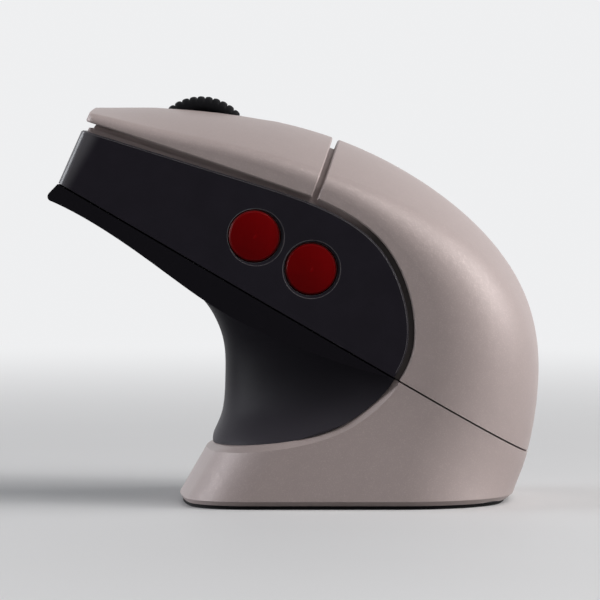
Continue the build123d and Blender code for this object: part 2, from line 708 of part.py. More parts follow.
with BuildPart() as side_switches:
    with BuildSketch(SIDE.offset(SIDE_BOARD_Y + SIDE_BOARD[2])):
        with Locations(*SIDE_BUTTONS):
            Rectangle(6, 6)
    extrude(amount=SIDE_SWITCH)
    with BuildSketch(SIDE.offset(SIDE_BOARD_Y + SIDE_BOARD[2] + SIDE_SWITCH - 1.4)):
        with Locations(*SIDE_BUTTONS):
            Circle(1.5)
    extrude(amount=3, mode=Mode.SUBTRACT)
side_switches.part.label = "side_switches"
export_step(side_switches.part, "parts/side_switches.step")


def side_plunger(place, wall_y):
    """Plunger of a side switch, its tip just under the button's stem."""
    start = SIDE_BOARD_Y + SIDE_BOARD[2] + SIDE_SWITCH - 0.7
    with BuildPart() as plunger:
        with BuildSketch(SIDE.offset(start)):
            with Locations(place):
                Circle(1.4)
        extrude(amount=wall_y - CAP_STEM - 0.08 - start)
    return plunger.part


with BuildPart() as forward_switch_plunger:
    add(side_plunger(SIDE_BUTTONS[0], CAP_Y[0]))
forward_switch_plunger.part.label = "forward_switch_plunger"
export_step(forward_switch_plunger.part, "parts/forward_switch_plunger.step")

with BuildPart() as back_switch_plunger:
    add(side_plunger(SIDE_BUTTONS[1], CAP_Y[1]))
back_switch_plunger.part.label = "back_switch_plunger"
export_step(back_switch_plunger.part, "parts/back_switch_plunger.step")

# Main board with the sensor opening, a notch for the charging socket and its screw holes
with BuildPart() as main_board:
    with BuildSketch(level(BOARD_LOW)):
        with BuildLine():
            Polyline(*BOARD_OUTLINE, close=True)
        make_face()
        with Locations((7.6, 0)):
            Rectangle(3.4, 9.4, mode=Mode.SUBTRACT)
        with Locations((SENSOR_U, 0)):
            Rectangle(10, 7, mode=Mode.SUBTRACT)
        with Locations(*BOARD_SCREWS):
            Circle(0.9, mode=Mode.SUBTRACT)
    extrude(amount=BOARD_TOP - BOARD_LOW)
main_board.part.label = "main_board"
export_step(main_board.part, "parts/main_board.step")

with BuildPart() as board_screws:
    down = Plane(origin=at(0, BOARD_TOP + 1.0), x_dir=(COS, 0, -SIN), z_dir=(-SIN, 0, -COS))
    add(screws(BOARD_SCREWS, down, 3.4, 1.6, 3.0))
board_screws.part.label = "board_screws"
export_step(board_screws.part, "parts/board_screws.step")

with BuildPart() as case_screws:
    add(screws(FRAME_SCREWS + SHELL_SCREWS, level(0.1), 4.2, 1.7, 7.0))
case_screws.part.label = "case_screws"
export_step(case_screws.part, "parts/case_screws.step")

with BuildPart() as optical_sensor:
    add(block(SENSOR_U, 0, BOARD_TOP, 14, 10.5, 1.9))
    add(block(SENSOR_U, 0, BOARD_TOP - 1, 5, 3, 2), mode=Mode.SUBTRACT)
optical_sensor.part.label = "optical_sensor"
export_step(optical_sensor.part, "parts/optical_sensor.step")

with BuildPart() as sensor_lens:
    add(block(SENSOR_U, 0, FLOOR + 2 * SEAT, *LENS_PLATE))
    add(block(SENSOR_U, 0, 0.7, SENSOR_WINDOW[0] - 2, SENSOR_WINDOW[1] - 2, BOARD_TOP - 0.8))
    add(posts([(SENSOR_U, 0)], 0.4, 1.6, 0.4))
sensor_lens.part.label = "sensor_lens"
export_step(sensor_lens.part, "parts/sensor_lens.step")

with BuildPart() as battery:
    with BuildSketch(level(BATTERY_LOW)):
        with Locations((BATTERY_U, 0)):
            RectangleRounded(*BATTERY[:2], 1.5)
    extrude(amount=BATTERY[2])
battery.part.label = "battery"
export_step(battery.part, "parts/battery.step")


def socket(plane, length):
    """Charging receptacle: a rounded shell round a tongue, open along minus the plane's normal."""
    with BuildPart() as receptacle:
        with BuildSketch(plane):
            SlotOverall(*PORT_SHELL)
            SlotOverall(PORT_SHELL[0] - 2 * PORT_T, PORT_SHELL[1] - 2 * PORT_T, mode=Mode.SUBTRACT)
        extrude(amount=length)
        with BuildSketch(plane.offset(length - 0.8)):
            SlotOverall(PORT_SHELL[0] - PORT_T, PORT_SHELL[1] - PORT_T)
        extrude(amount=0.8)
        with BuildSketch(plane.offset(1.0)):
            Rectangle(6.7, 0.7)
        extrude(amount=length - 1.4)
    return receptacle.part


with BuildPart() as mouse_socket:
    add(socket(Plane(origin=at(1.5, PORT_V), x_dir=(0, 1, 0), z_dir=(COS, 0, -SIN)), PORT_LENGTH))
mouse_socket.part.label = "mouse_socket"
export_step(mouse_socket.part, "parts/mouse_socket.step")

# Mode switch and pairing button in the floor
with BuildPart() as mode_switch:
    add(block(*MODE_AT, FLOOR + SEAT, 11, 5.4, BOARD_LOW - FLOOR - 2 * SEAT))
    with BuildSketch(level(FLOOR)):
        with Locations(MODE_AT):
            SlotOverall(MODE_SLOT[0] + 0.2, MODE_SLOT[1])
    extrude(amount=1.2, mode=Mode.SUBTRACT)
mode_switch.part.label = "mode_switch"
export_step(mode_switch.part, "parts/mode_switch.step")

with BuildPart() as mode_slider:
    with BuildSketch(level(0.5)):
        with Locations((MODE_AT[0] - MODE_REST, MODE_AT[1])):
            SlotOverall(4.4, 2.8)
    extrude(amount=2.4)
    for groove_u in (-0.8, 0, 0.8):
        add(block(MODE_AT[0] - MODE_REST + groove_u, MODE_AT[1], 0.2, 0.35, 3, 0.6), mode=Mode.SUBTRACT)
mode_slider.part.label = "mode_slider"
export_step(mode_slider.part, "parts/mode_slider.step")

with BuildPart() as pairing_button:
    add(posts([PAIR_AT], 0.4, PAIR_R, 1.8))
    add(posts([PAIR_AT], FLOOR + SEAT, PAIR_R + 1.0, 0.5))
pairing_button.part.label = "pairing_button"
export_step(pairing_button.part, "parts/pairing_button.step")

with BuildPart() as pairing_switch:
    add(block(*PAIR_AT, 3.0, 4.6, 4.6, BOARD_LOW - 3.0))
pairing_switch.part.label = "pairing_switch"
export_step(pairing_switch.part, "parts/pairing_switch.step")

with BuildPart() as charging_pads:
    add(posts([(PAD_U, y) for y in PAD_YS], 0, PAD_R, 1.6))
    add(posts([(PAD_U, y) for y in PAD_YS], 1.6, 0.7, BOARD_LOW - 1.6))
charging_pads.part.label = "charging_pads"
export_step(charging_pads.part, "parts/charging_pads.step")

with BuildPart() as mouse_magnets:
    add(posts(MAGNETS, FLOOR + 0.02, MAGNET_R, MAGNET_T))
mouse_magnets.part.label = "mouse_magnets"
export_step(mouse_magnets.part, "parts/mouse_magnets.step")

with BuildPart() as glide_feet:
    with BuildSketch(level(-SKATE_T)):
        for skate_u, width, length in SKATES:
            with Locations((skate_u, 0)):
                RectangleRounded(width, length, width * 0.45)
    extrude(amount=SKATE_T)
glide_feet.part.label = "glide_feet"
export_step(glide_feet.part, "parts/glide_feet.step")


def sole_prism(inset, depth, amount, nose=0.0):
    """Outline of the mouse's sole, drawn in, carried on down into the stand from some depth."""
    half, corner, crown = STATIONS[-1][3:]
    side = [(station[3] - inset, station[0] or nose + inset) for station in STATIONS[:7]]
    with BuildPart(mode=Mode.PRIVATE) as prism:
        with BuildSketch(INTO_STAND.offset(depth)) as sole:
            with BuildLine():
                start = crowned_end(half - inset, SOLE - inset, crown, corner - inset)
                Polyline(*side, (half - inset, start))
                Polyline(*[(-y, u) for y, u in side], (-half + inset, start))
                Line(side[0], (-side[0][0], side[0][1]))
            make_face()
            fillet(sole.vertices().sort_by(Axis.Y)[:2], max(NOSE_CORNER - inset, 0.8))
        extrude(amount=amount)
    return prism.part


def in_stand(u, y, depth, length, width, height):
    """Block square to the sole inside the stand, its top some depth below the sole."""
    return block(u, y, -depth - height, length, width, height)


def above_neck_edge(gap):
    """Everything above the curved edge where the dark neck meets the light base, as a prism."""
    with BuildPart(mode=Mode.PRIVATE) as prism:
        with BuildSketch(FRONT_VIEW.offset(-SPAN)):
            with BuildLine():
                edge = Spline((22.3 - gap, 31.0), (17.9 - gap, 23.9), (12.1 - gap, 19.3 + gap),
                              (3.6, 15.7 + gap), (-12.0, LEDGE_Z + gap), (-24.0, LEDGE_Z - 0.6 + gap),
                              tangents=((-0.25, -1), (-1, -0.05)))
                Polyline(edge @ 1, (-90, LEDGE_Z + gap), (-90, 120), (22.3 - gap, 120), edge @ 0)
            make_face()
        extrude(amount=2 * SPAN)
    return prism.part


def stand_plane(slope):
    """Plane through the line where the split plane meets the table; local y points to the front."""
    slope = math.radians(slope)
    outward = Vector(-math.cos(slope), 0, math.sin(slope))
    middle = Vector(PIVOT_X, 0, 0) + outward * STAND_MIDDLE
    return Plane(origin=middle, x_dir=(0, 1, 0), z_dir=Vector(0, 1, 0).cross(outward))


def stand_outline(rear, front, half, corner, inset=0.0):
    """Outline of the stand, drawn in, on one of its planes."""
    crown, radius = STAND_FRONT
    front_side = crowned_end(half - inset, front - STAND_MIDDLE - inset, crown, radius - inset)
    rear_side = crowned_end(half - inset, rear - STAND_MIDDLE + inset, STAND_REAR_CROWN, corner - inset)
    Line((half - inset, front_side), (half - inset, rear_side))
    Line((-half + inset, front_side), (-half + inset, rear_side))


with BuildPart() as stand_form:
    for slope, *outline in STAND_STATIONS:
        with BuildSketch(stand_plane(slope)):
            with BuildLine():
                stand_outline(*outline)
            make_face()
    loft()

with BuildPart() as neck_form:
    for height, front, half, depth, end_x, end_half in NECK_STATIONS:
        quarter = [(end_x, end_half), (front + depth, half), (front + 0.22 * depth, 0.62 * half)]
        with BuildSketch(Plane.XY.offset(height)):
            with BuildLine():
                Spline(*quarter, (front, 0), *[(x, -y) for x, y in reversed(quarter)])
                Line((end_x, -end_half), (end_x, end_half))
            make_face()
    loft()

# Thin tongue of the neck that lies along the sole out to the nose
with BuildPart() as tongue:
    with BuildSketch(SIDE):
        with BuildLine():
            tip = ThreePointArc((-0.6, -2.9), (-0.42, -3.85), (0.7, -4.2))
            under = Spline(tip @ 1, (10.5, -3.75), (27.8, -4.95), (45.0, -6.3), (66.0, -4.2), (84.0, -0.1),
                           tangents=((1, 0.12), (1, 0.3)))
            Polyline(under @ 1, (84, 0), (0.1, 0), tip @ 0)
        make_face()
    extrude(amount=SPAN, both=True)

cradle_recess = sole_prism(CRADLE_EDGE, 0, SPLIT_GAP + CRADLE_T)
magnet_pockets = posts(MAGNETS, -SPLIT_GAP - CRADLE_T - DOCK_MAGNET_T, MAGNET_R, DOCK_MAGNET_T + ROOT)

# Dark neck of the stand
with BuildPart() as stand_neck:
    add(neck_form.part)
    add(tongue.part)
    add(sole_prism(0, 0, 2 * SPAN, nose=-2.0), mode=Mode.INTERSECT)
    split(bisect_by=level(-SPLIT_GAP), keep=Keep.BOTTOM)
    add(above_neck_edge(NECK_GAP), mode=Mode.INTERSECT)
    add(cradle_recess, mode=Mode.SUBTRACT)
    add(in_stand(PAD_U, 0, SPLIT_GAP + CRADLE_T - 0.1, *CONTACT_BLOCK), mode=Mode.SUBTRACT)
    add(magnet_pockets, mode=Mode.SUBTRACT)
    with BuildSketch(Plane.XY.offset(CAVITY_TOP)):
        with Locations(DUCT):
            Circle(DUCT_R)
    extrude(amount=20, mode=Mode.SUBTRACT)
    with BuildSketch(Plane.XY.offset(CAVITY_TOP)):
        with Locations(*NECK_SCREWS):
            Circle(1.2)
    extrude(amount=12.2, mode=Mode.SUBTRACT)
stand_neck.part.label = "stand_neck"
export_step(stand_neck.part, "parts/stand_neck.step")

# Light base: a low front with a ledge round the neck and a tall rear that carries the outline on
with BuildPart() as stand_base:
    add(stand_form.part)
    split(bisect_by=level(-SPLIT_GAP), keep=Keep.BOTTOM)
    split(bisect_by=Plane.XY.offset(FOOT_H), keep=Keep.TOP)
    chamfer(stand_base.edges().group_by(Axis.Z)[0], 1.0)
    add(above_neck_edge(0), mode=Mode.SUBTRACT)
    chamfer(cut_edges(stand_base, Vector(-1, 0, 0.6)), RIM_EDGE)
    add(cradle_recess, mode=Mode.SUBTRACT)
    add(magnet_pockets, mode=Mode.SUBTRACT)
    with BuildSketch(Plane.XY):
        with Locations((CAVITY[0], 0)):
            RectangleRounded(*CAVITY[1:], CAVITY_CORNER)
    extrude(amount=CAVITY_TOP, mode=Mode.SUBTRACT)
    with BuildSketch(Plane.XY.offset(FOOT_H + BOTTOM_T + SEAT)):
        with Locations(*BASE_SCREWS):
            Circle(3.2)
    extrude(amount=CAVITY_TOP - FOOT_H - BOTTOM_T + 0.5)
    with BuildSketch(Plane.XY.offset(FOOT_H)):
        with Locations(*BASE_SCREWS):
            Circle(1.0)
    extrude(amount=CAVITY_TOP - FOOT_H, mode=Mode.SUBTRACT)
    with BuildSketch(Plane.XY.offset(CAVITY_TOP - 1)):
        with Locations(DUCT):
            Circle(DUCT_R)
        with Locations(*NECK_SCREWS):
            Circle(1.4)
    extrude(amount=12, mode=Mode.SUBTRACT)
    with BuildSketch(Plane(origin=(40, 0, DOCK_SOCKET_Z), x_dir=(0, 1, 0), z_dir=(1, 0, 0))):
        SlotOverall(*PORT_SLOT)
    extrude(amount=20, mode=Mode.SUBTRACT)
stand_base.part.label = "stand_base"
export_step(stand_base.part, "parts/stand_base.step")

# Cradle plate under the mouse, with hollows for its glide feet and holes for the contact pins
with BuildPart() as cradle_plate:
    add(sole_prism(CRADLE_EDGE + FIT, SPLIT_GAP, CRADLE_T))
    with BuildSketch(level(-SPLIT_GAP - 0.7)):
        for skate_u, width, length in SKATES:
            with Locations((skate_u, 0)):
                RectangleRounded(width + 1, length + 1, width * 0.45)
    extrude(amount=2, mode=Mode.SUBTRACT)
    add(posts([(PAD_U, y) for y in PAD_YS], -4, PIN_R + 0.2, 5), mode=Mode.SUBTRACT)
cradle_plate.part.label = "cradle_plate"
export_step(cradle_plate.part, "parts/cradle_plate.step")

with BuildPart() as contact_block:
    add(in_stand(PAD_U, 0, SPLIT_GAP + CRADLE_T, CONTACT_BLOCK[0] - 0.2, CONTACT_BLOCK[1] - 0.2, 6.7))
    add(posts([(PAD_U, y) for y in PAD_YS], -8.2, PIN_R + 0.07, 8), mode=Mode.SUBTRACT)
contact_block.part.label = "contact_block"
export_step(contact_block.part, "parts/contact_block.step")

with BuildPart() as contact_pins:
    add(posts([(PAD_U, y) for y in PAD_YS], -7.2, PIN_R, 7.1))
contact_pins.part.label = "contact_pins"
export_step(contact_pins.part, "parts/contact_pins.step")

with BuildPart() as stand_magnets:
    add(posts(MAGNETS, -SPLIT_GAP - CRADLE_T - DOCK_MAGNET_T, MAGNET_R, DOCK_MAGNET_T))
stand_magnets.part.label = "stand_magnets"
export_step(stand_magnets.part, "parts/stand_magnets.step")

with BuildPart() as contact_lead:
    with BuildLine() as route:
        FilletPolyline((DUCT[0], 0, 26.0), (DUCT[0], 0, LEAD_Z), (23.0, 0, LEAD_Z), radius=LEAD_BEND)
    with BuildSketch(Plane(origin=(DUCT[0], 0, 26.0), z_dir=(0, 0, -1))):
        Circle(LEAD_R)
    sweep(path=route.line)
contact_lead.part.label = "contact_lead"
export_step(contact_lead.part, "parts/contact_lead.step")

with BuildPart() as stand_board:
    with BuildSketch(Plane.XY.offset(BOARD_Z)):
        with Locations((DOCK_BOARD_X, 0)):
            Rectangle(*DOCK_BOARD[:2])
    extrude(amount=DOCK_BOARD[2])
stand_board.part.label = "stand_board"
export_step(stand_board.part, "parts/stand_board.step")

with BuildPart() as stand_socket:
    outward = Plane(origin=(49.2, 0, DOCK_SOCKET_Z + 0.04), x_dir=(0, 1, 0), z_dir=(-1, 0, 0))
    add(socket(outward, PORT_LENGTH))
stand_socket.part.label = "stand_socket"
export_step(stand_socket.part, "parts/stand_socket.step")

with BuildPart() as ballast:
    with BuildSketch(Plane.XY.offset(FOOT_H + BOTTOM_T)):
        RectangleRounded(*BALLAST[:2], 3)
        with Locations((10, 0)):
            Rectangle(20, 9, mode=Mode.SUBTRACT)
    extrude(amount=BALLAST[2])
ballast.part.label = "ballast"
export_step(ballast.part, "parts/ballast.step")

with BuildPart() as bottom_plate:
    with BuildSketch(Plane.XY.offset(FOOT_H)):
        with Locations((CAVITY[0], 0)):
            RectangleRounded(CAVITY[1] - 2 * FIT, CAVITY[2] - 2 * FIT, CAVITY_CORNER - FIT)
    extrude(amount=BOTTOM_T)
    with BuildSketch(Plane.XY.offset(FOOT_H + BOTTOM_T)):
        with Locations((DOCK_BOARD_X, 0)):
            with GridLocations(18, 20, 2, 2):
                Circle(1.5)
    extrude(amount=BOARD_Z - FOOT_H - BOTTOM_T)
    with BuildSketch(Plane.XY.offset(FOOT_H)):
        with Locations(*BASE_SCREWS):
            Circle(1.1)
    extrude(amount=BOTTOM_T, mode=Mode.SUBTRACT)
    with BuildSketch(Plane.XY.offset(FOOT_H)):
        with Locations(*BASE_SCREWS):
            Circle(SCREW_SINK)
    extrude(amount=1.0, mode=Mode.SUBTRACT)
bottom_plate.part.label = "bottom_plate"
export_step(bottom_plate.part, "parts/bottom_plate.step")

with BuildPart() as base_screws:
    add(screws(BASE_SCREWS, Plane.XY.offset(FOOT_H + 0.1), 4.2, 2.0, 5.5, 0.9))
base_screws.part.label = "base_screws"
export_step(base_screws.part, "parts/base_screws.step")

with BuildPart() as neck_screws:
    add(screws(NECK_SCREWS, Plane.XY.offset(CAVITY_TOP - 1.6), 5.0, 2.4, 12.0, 1.6))
neck_screws.part.label = "neck_screws"
export_step(neck_screws.part, "parts/neck_screws.step")

with BuildPart() as rubber_foot:
    with BuildSketch(stand_plane(0)):
        with BuildLine():
            stand_outline(*STAND_STATIONS[0][1:], inset=FOOT_INSET)
        make_face()
    extrude(amount=FOOT_H)
rubber_foot.part.label = "rubber_foot"
export_step(rubber_foot.part, "parts/rubber_foot.step")
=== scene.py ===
import json
import math

import bmesh
import bpy
from bpy.props import FloatProperty, FloatVectorProperty, IntProperty, PointerProperty
from mathutils import Matrix, Vector


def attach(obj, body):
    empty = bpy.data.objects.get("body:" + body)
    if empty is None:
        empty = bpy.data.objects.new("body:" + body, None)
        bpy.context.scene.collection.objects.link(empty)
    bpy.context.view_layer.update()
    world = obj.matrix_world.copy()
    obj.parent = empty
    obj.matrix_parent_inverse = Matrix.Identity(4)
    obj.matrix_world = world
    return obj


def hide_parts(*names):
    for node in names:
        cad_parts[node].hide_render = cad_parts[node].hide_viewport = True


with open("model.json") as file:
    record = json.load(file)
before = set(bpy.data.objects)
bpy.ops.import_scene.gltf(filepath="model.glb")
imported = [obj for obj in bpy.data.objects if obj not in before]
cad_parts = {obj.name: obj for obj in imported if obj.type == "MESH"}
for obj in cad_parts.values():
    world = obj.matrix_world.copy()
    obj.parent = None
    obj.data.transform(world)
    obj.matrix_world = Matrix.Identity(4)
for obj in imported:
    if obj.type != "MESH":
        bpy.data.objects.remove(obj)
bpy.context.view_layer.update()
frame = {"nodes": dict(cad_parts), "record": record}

bl_info = {
    "name": "Mouse on a charging stand",
    "version": (1, 0, 0),
    "blender": (4, 5, 0),
    "location": "3D View > Sidebar > Mouse",
    "description": "Dresses a wireless mouse and its charging stand around the packed model",
    "category": "Object",
}

MM = 0.001
MICRON = 0.000001

# The mouse leans on its stand. ALONG runs from its nose to its rear on the sole, SQUARE stands
# on the sole, and ACROSS runs from its left side to its right. LEVEL runs along the stand.
TILT = math.radians(30)
ALONG = Vector((math.cos(TILT), 0, -math.sin(TILT)))
SQUARE = Vector((math.sin(TILT), 0, math.cos(TILT)))
ACROSS = Vector((0, 1, 0))
LEVEL = Vector((1, 0, 0))
NOSE = Vector((-51.42, 0, 70.29)) * MM
WHEEL_U, WHEEL_V = 22.6 * MM, 21.5 * MM     # the axle, behind the nose and above the sole
MAIN_BOARD_TOP = 5.7 * MM                   # above the sole
STAND_BOARD_TOP = 4.8 * MM                  # above the table


def at(u, v, y=0.0):
    """Place in the model's frame of a point given in the mouse's own axes."""
    return NOSE + ALONG * u + SQUARE * v + ACROSS * y


# Node trees

class Wire:
    """A shader or geometry socket that takes part in arithmetic."""

    def __init__(self, tree, socket):
        self.tree = tree
        self.socket = socket

    def _maths(self, operation, *values):
        return self.tree.maths(operation, *values)

    def __add__(self, other):
        return self._maths("ADD", self, other)

    def __radd__(self, other):
        return self._maths("ADD", other, self)

    def __sub__(self, other):
        return self._maths("SUBTRACT", self, other)

    def __rsub__(self, other):
        return self._maths("SUBTRACT", other, self)

    def __mul__(self, other):
        return self._maths("MULTIPLY", self, other)

    def __rmul__(self, other):
        return self._maths("MULTIPLY", other, self)

    def __truediv__(self, other):
        return self._maths("DIVIDE", self, other)

    def __pow__(self, other):
        return self._maths("POWER", self, other)

    def __abs__(self):
        return self._maths("ABSOLUTE", self)

    def sine(self):
        """The sine of an angle in radians."""
        return self._maths("SINE", self)

    def cosine(self):
        """The cosine of an angle in radians."""
        return self._maths("COSINE", self)

    def sign(self):
        """-1, 0 or 1, as the value is below, at or above 0."""
        return self._maths("SIGN", self)

    def below(self, limit):
        """1 under a limit, 0 above it."""
        return self._maths("LESS_THAN", self, limit)

    def near(self, value, reach):
        """1 within a reach of a value, 0 elsewhere."""
        return self._maths("COMPARE", self, value, reach)

    def larger(self, other):
        """The larger of two values."""
        return self._maths("MAXIMUM", self, other)

    def clamp(self, low=0.0, high=1.0):
        """Held between two values."""
        return self._maths("MINIMUM", self.larger(low), high)

    def step(self, low, high):
        """A smooth step from 0 at low to 1 at high."""
        return self.tree.add("ShaderNodeMapRange", {"interpolation_type": "SMOOTHSTEP"},
                             {"Value": self, "From Min": low, "From Max": high})["Result"]


class Outputs:
    """The outputs of a node, by name or number."""

    def __init__(self, tree, node):
        self.tree = tree
        self.node = node

    def __getitem__(self, name):
        return Wire(self.tree, self.node.outputs[name])


class Tree:
    """A node tree, filled by one method."""

    def __init__(self, tree):
        self.tree = tree

    def add(self, kind, settings=None, sockets=None):
        """Makes a node, sets it, feeds its sockets, and returns its outputs as wires."""
        node = self.tree.nodes.new(kind)
        for name, value in (settings or {}).items():
            setattr(node, name, value)
        for name, value in (sockets or {}).items():
            self.feed(node.inputs[name], value)
        return Outputs(self, node)

    def maths(self, operation, *values):
        """The result of a Math node."""
        return self.add("ShaderNodeMath", {"operation": operation}, dict(enumerate(values)))[0]

    def feed(self, socket, value):
        """Links a wire to a socket, or sets the socket's own value."""
        if isinstance(value, Wire):
            self.tree.links.new(value.socket, socket)
        elif socket.type == "RGBA" and len(value) == 3:
            socket.default_value = (*value, 1.0)
        else:
            socket.default_value = value

    def seen(self):
        """1 for what the camera, a reflection or a lens sees, 0 for light on the object."""
        rays = self.add("ShaderNodeLightPath")
        through = rays["Is Glossy Ray"] + rays["Is Transmission Ray"]
        return (rays["Is Camera Ray"] + through).clamp()


class Finish(Tree):
    """A material with one principled shader."""

    def __init__(self, name):
        self.material = bpy.data.materials.new(name)
        self.material.use_nodes = True
        super().__init__(self.material.node_tree)
        self.tree.nodes.clear()
        self.place = self.add("ShaderNodeTexCoord")["Object"]

    def noise(self, scale, detail=2.0, roughness=0.5, vector=None):
        """Noise over the surface; scale is in features per metre."""
        return self.add("ShaderNodeTexNoise", {}, {
            "Vector": vector or self.place, "Scale": scale, "Detail": detail,
            "Roughness": roughness})["Fac"]

    def brushed(self, scale, stretch):
        """Noise drawn out into lines; stretch holds a factor below 1 for each long axis."""
        drawn = self.add("ShaderNodeMapping", {}, {"Vector": self.place, "Scale": stretch})
        return self.noise(scale, vector=drawn["Vector"])

    def cells(self, scale, output="Distance"):
        """Cells over the surface; scale is in cells per metre."""
        return self.add("ShaderNodeTexVoronoi", {},
                        {"Vector": self.place, "Scale": scale})[output]

    def blend(self, mask, first, second):
        """The first colour where the mask is 0, the second where it is 1."""
        return self.add("ShaderNodeMix", {"data_type": "RGBA"}, {0: mask, 6: first, 7: second})[2]

    def edges(self, radius, low=0.01, high=0.08):
        """1 along the edges of the shape, 0 on its faces; radius is in metres."""
        rounded = self.add("ShaderNodeBevel", {"samples": 6}, {"Radius": radius})["Normal"]
        plain = self.add("ShaderNodeNewGeometry")["Normal"]
        same = self.add("ShaderNodeVectorMath", {"operation": "DOT_PRODUCT"},
                        {0: rounded, 1: plain})["Value"]
        return (1 - same).step(low, high)

    def mouse_axes(self):
        """Distance behind the mouse's nose, along its sole, and height above the sole."""
        spot = self.add("ShaderNodeSeparateXYZ", {}, {"Vector": self.place})
        right, up = spot["X"] - NOSE.x, spot["Z"] - NOSE.z
        return right * ALONG.x + up * ALONG.z, right * SQUARE.x + up * SQUARE.z

    def relief(self, height, depth, strength=1.0, under=None):
        """A normal that shows a height of 0 to 1 as a relief of a depth in metres."""
        sockets = {"Height": height, "Distance": depth, "Strength": strength}
        if under is not None:
            sockets["Normal"] = under
        return self.add("ShaderNodeBump", {}, sockets)["Normal"]

    def finish(self, **sockets):
        """Adds the shader with its sockets, named with underscores, and returns the material."""
        named = {name.replace("_", " "): value for name, value in sockets.items()}
        shader = self.add("ShaderNodeBsdfPrincipled", {}, named)
        self.add("ShaderNodeOutputMaterial", {}, {"Surface": shader["BSDF"]})
        return self.material


class Shape(Tree):
    """A Geometry Nodes tree with named inputs for its sizes, given with their defaults."""

    def __init__(self, name, **sizes):
        group = bpy.data.node_groups.new(name, "GeometryNodeTree")
        super().__init__(group)
        self.sockets = {}
        for size, value in sizes.items():
            kind = "NodeSocketInt" if isinstance(value, int) else "NodeSocketFloat"
            socket = group.interface.new_socket(size, in_out="INPUT", socket_type=kind)
            socket.default_value = value
            self.sockets[size] = socket.identifier
        group.interface.new_socket("Geometry", in_out="OUTPUT",
                                   socket_type="NodeSocketGeometry")
        given = self.add("NodeGroupInput")
        self.sizes = {size: given[size] for size in sizes}

    def vector(self, x=0.0, y=0.0, z=0.0):
        """A vector of three values."""
        return self.add("ShaderNodeCombineXYZ", {}, {"X": x, "Y": y, "Z": z})["Vector"]

    def bar(self, length, width, height):
        """A box of three sizes, centred."""
        return self.add("GeometryNodeMeshCube", {},
                        {"Size": self.vector(length, width, height)})["Mesh"]

    def moved(self, geometry, vector, turn=0.0):
        """The geometry turned about Z and then carried along a vector."""
        return self.add("GeometryNodeTransform", {}, {
            "Geometry": geometry, "Translation": vector, "Rotation": (0.0, 0.0, turn),
        })["Geometry"]

    def joined(self, *parts):
        """Several geometries as one."""
        node = self.add("GeometryNodeJoinGeometry")
        for part in reversed(parts):
            self.tree.links.new(part.socket, node.node.inputs["Geometry"])
        return node["Geometry"]

    def row(self, piece, count, step):
        """A row of copies of a piece along Y, centred on it."""
        line = self.add("GeometryNodeMeshLine", {"mode": "OFFSET", "count_mode": "TOTAL"}, {
            "Count": count, "Start Location": self.vector(y=step * (count - 1) * -0.5),
            "Offset": self.vector(y=step)})["Mesh"]
        return self.add("GeometryNodeInstanceOnPoints", {},
                        {"Points": line, "Instance": piece})["Instances"]

    def close(self, geometry, slot):
        """Ends the tree: real copies with the finish of a slot."""
        real = self.add("GeometryNodeRealizeInstances", {}, {"Geometry": geometry})["Geometry"]
        done = self.add("GeometryNodeSetMaterial", {},
                        {"Geometry": real, "Material": finishes[slot]})["Geometry"]
        self.add("NodeGroupOutput", {}, {"Geometry": done})
        return self

    def grown(self, name, place, **sizes):
        """An object with the plain mesh that the tree gives for these sizes, put in its place."""
        obj = new_piece(name, bpy.data.meshes.new(name))
        modifier = obj.modifiers.new(self.tree.name, "NODES")
        modifier.node_group = self.tree
        for size, value in sizes.items():
            modifier[self.sockets[size]] = value
        made_plain(obj)
        obj.data.transform(place)
        return obj


# Finishes. Noise and cells are given in features per metre, reliefs in microns.

EDGE_REACH = 0.25 * MM                      # width of the painted highlight along an edge
EDGE_PAINTED_HIGHLIGHT = (0.24, 0.225, 0.235)           # painted highlight on the dark shell's edges
EDGE_START = (0.7 * MM, 1.4 * MM)           # the painted highlight starts above this height over the sole
NOSE_PAINTED_HIGHLIGHT = (0.05, 0.046, 0.056)           # painted highlight on the dark shell's nose
NOSE_END = (0.2 * MM, 3.4 * MM)             # the painted highlight fades out behind the nose between these
FRAME_PAINTED_SHADE = (56 * MM, 66 * MM)            # painted shade: the frame darkens between these behind the nose
NECK_PAINTED_SHEEN = (0.045, 0.041, 0.049)           # painted sheen on the foot of the neck
NECK_START = (15 * MM, 33 * MM)             # the painted sheen fades into painted shade between these heights
RUBBER_EDGE = (0.05, 0.05, 0.052)


def scaled(colour, factor):
    """A colour made lighter or darker."""
    return tuple(min(part * factor, 1.0) for part in colour)


def light_shell_finish(look):
    """Satin warm grey plastic with fine pearl flakes and faint mottling."""
    f = Finish("light_shell_finish")
    colour = look.light_colour
    grain = f.noise(7000.0)
    mottle = f.noise(260.0, detail=3.0)
    flake = f.add("ShaderNodeSeparateColor", {}, {"Color": f.cells(5600.0, "Color")})["Red"]
    glint = flake.step(0.72, 1.0)
    tone = f.blend(mottle, scaled(colour, 0.965), scaled(colour, 1.03))
    tone = f.blend(glint * 0.3, tone, scaled(colour, 1.35))
    skin = f.relief(grain, 10 * MICRON, 0.5)
    return f.finish(Base_Color=tone, Roughness=0.38 + grain * 0.12,
                    Metallic=glint * 0.25 + 0.06, Specular_IOR_Level=0.4,
                    Normal=f.relief(flake, 8 * MICRON, 0.7, under=skin))


def frame_shell_finish(look):
    """The light plastic of the frame, with painted shade where the shells part behind the main
    buttons.
    """
    f = Finish("frame_shell_finish")
    colour = look.frame_colour
    grain = f.noise(4800.0)
    behind_nose, _ = f.mouse_axes()
    tone = f.blend(f.noise(230.0), scaled(colour, 0.9), scaled(colour, 1.1))
    # painted shade in the deep groove where the shells part behind the main buttons
    tone = f.blend(behind_nose.step(*FRAME_PAINTED_SHADE), tone, scaled(colour, 0.12))
    return f.finish(Base_Color=tone, Roughness=0.48 + grain * 0.12, Specular_IOR_Level=0.2,
                    Normal=f.relief(grain, 10 * MICRON, 0.5))


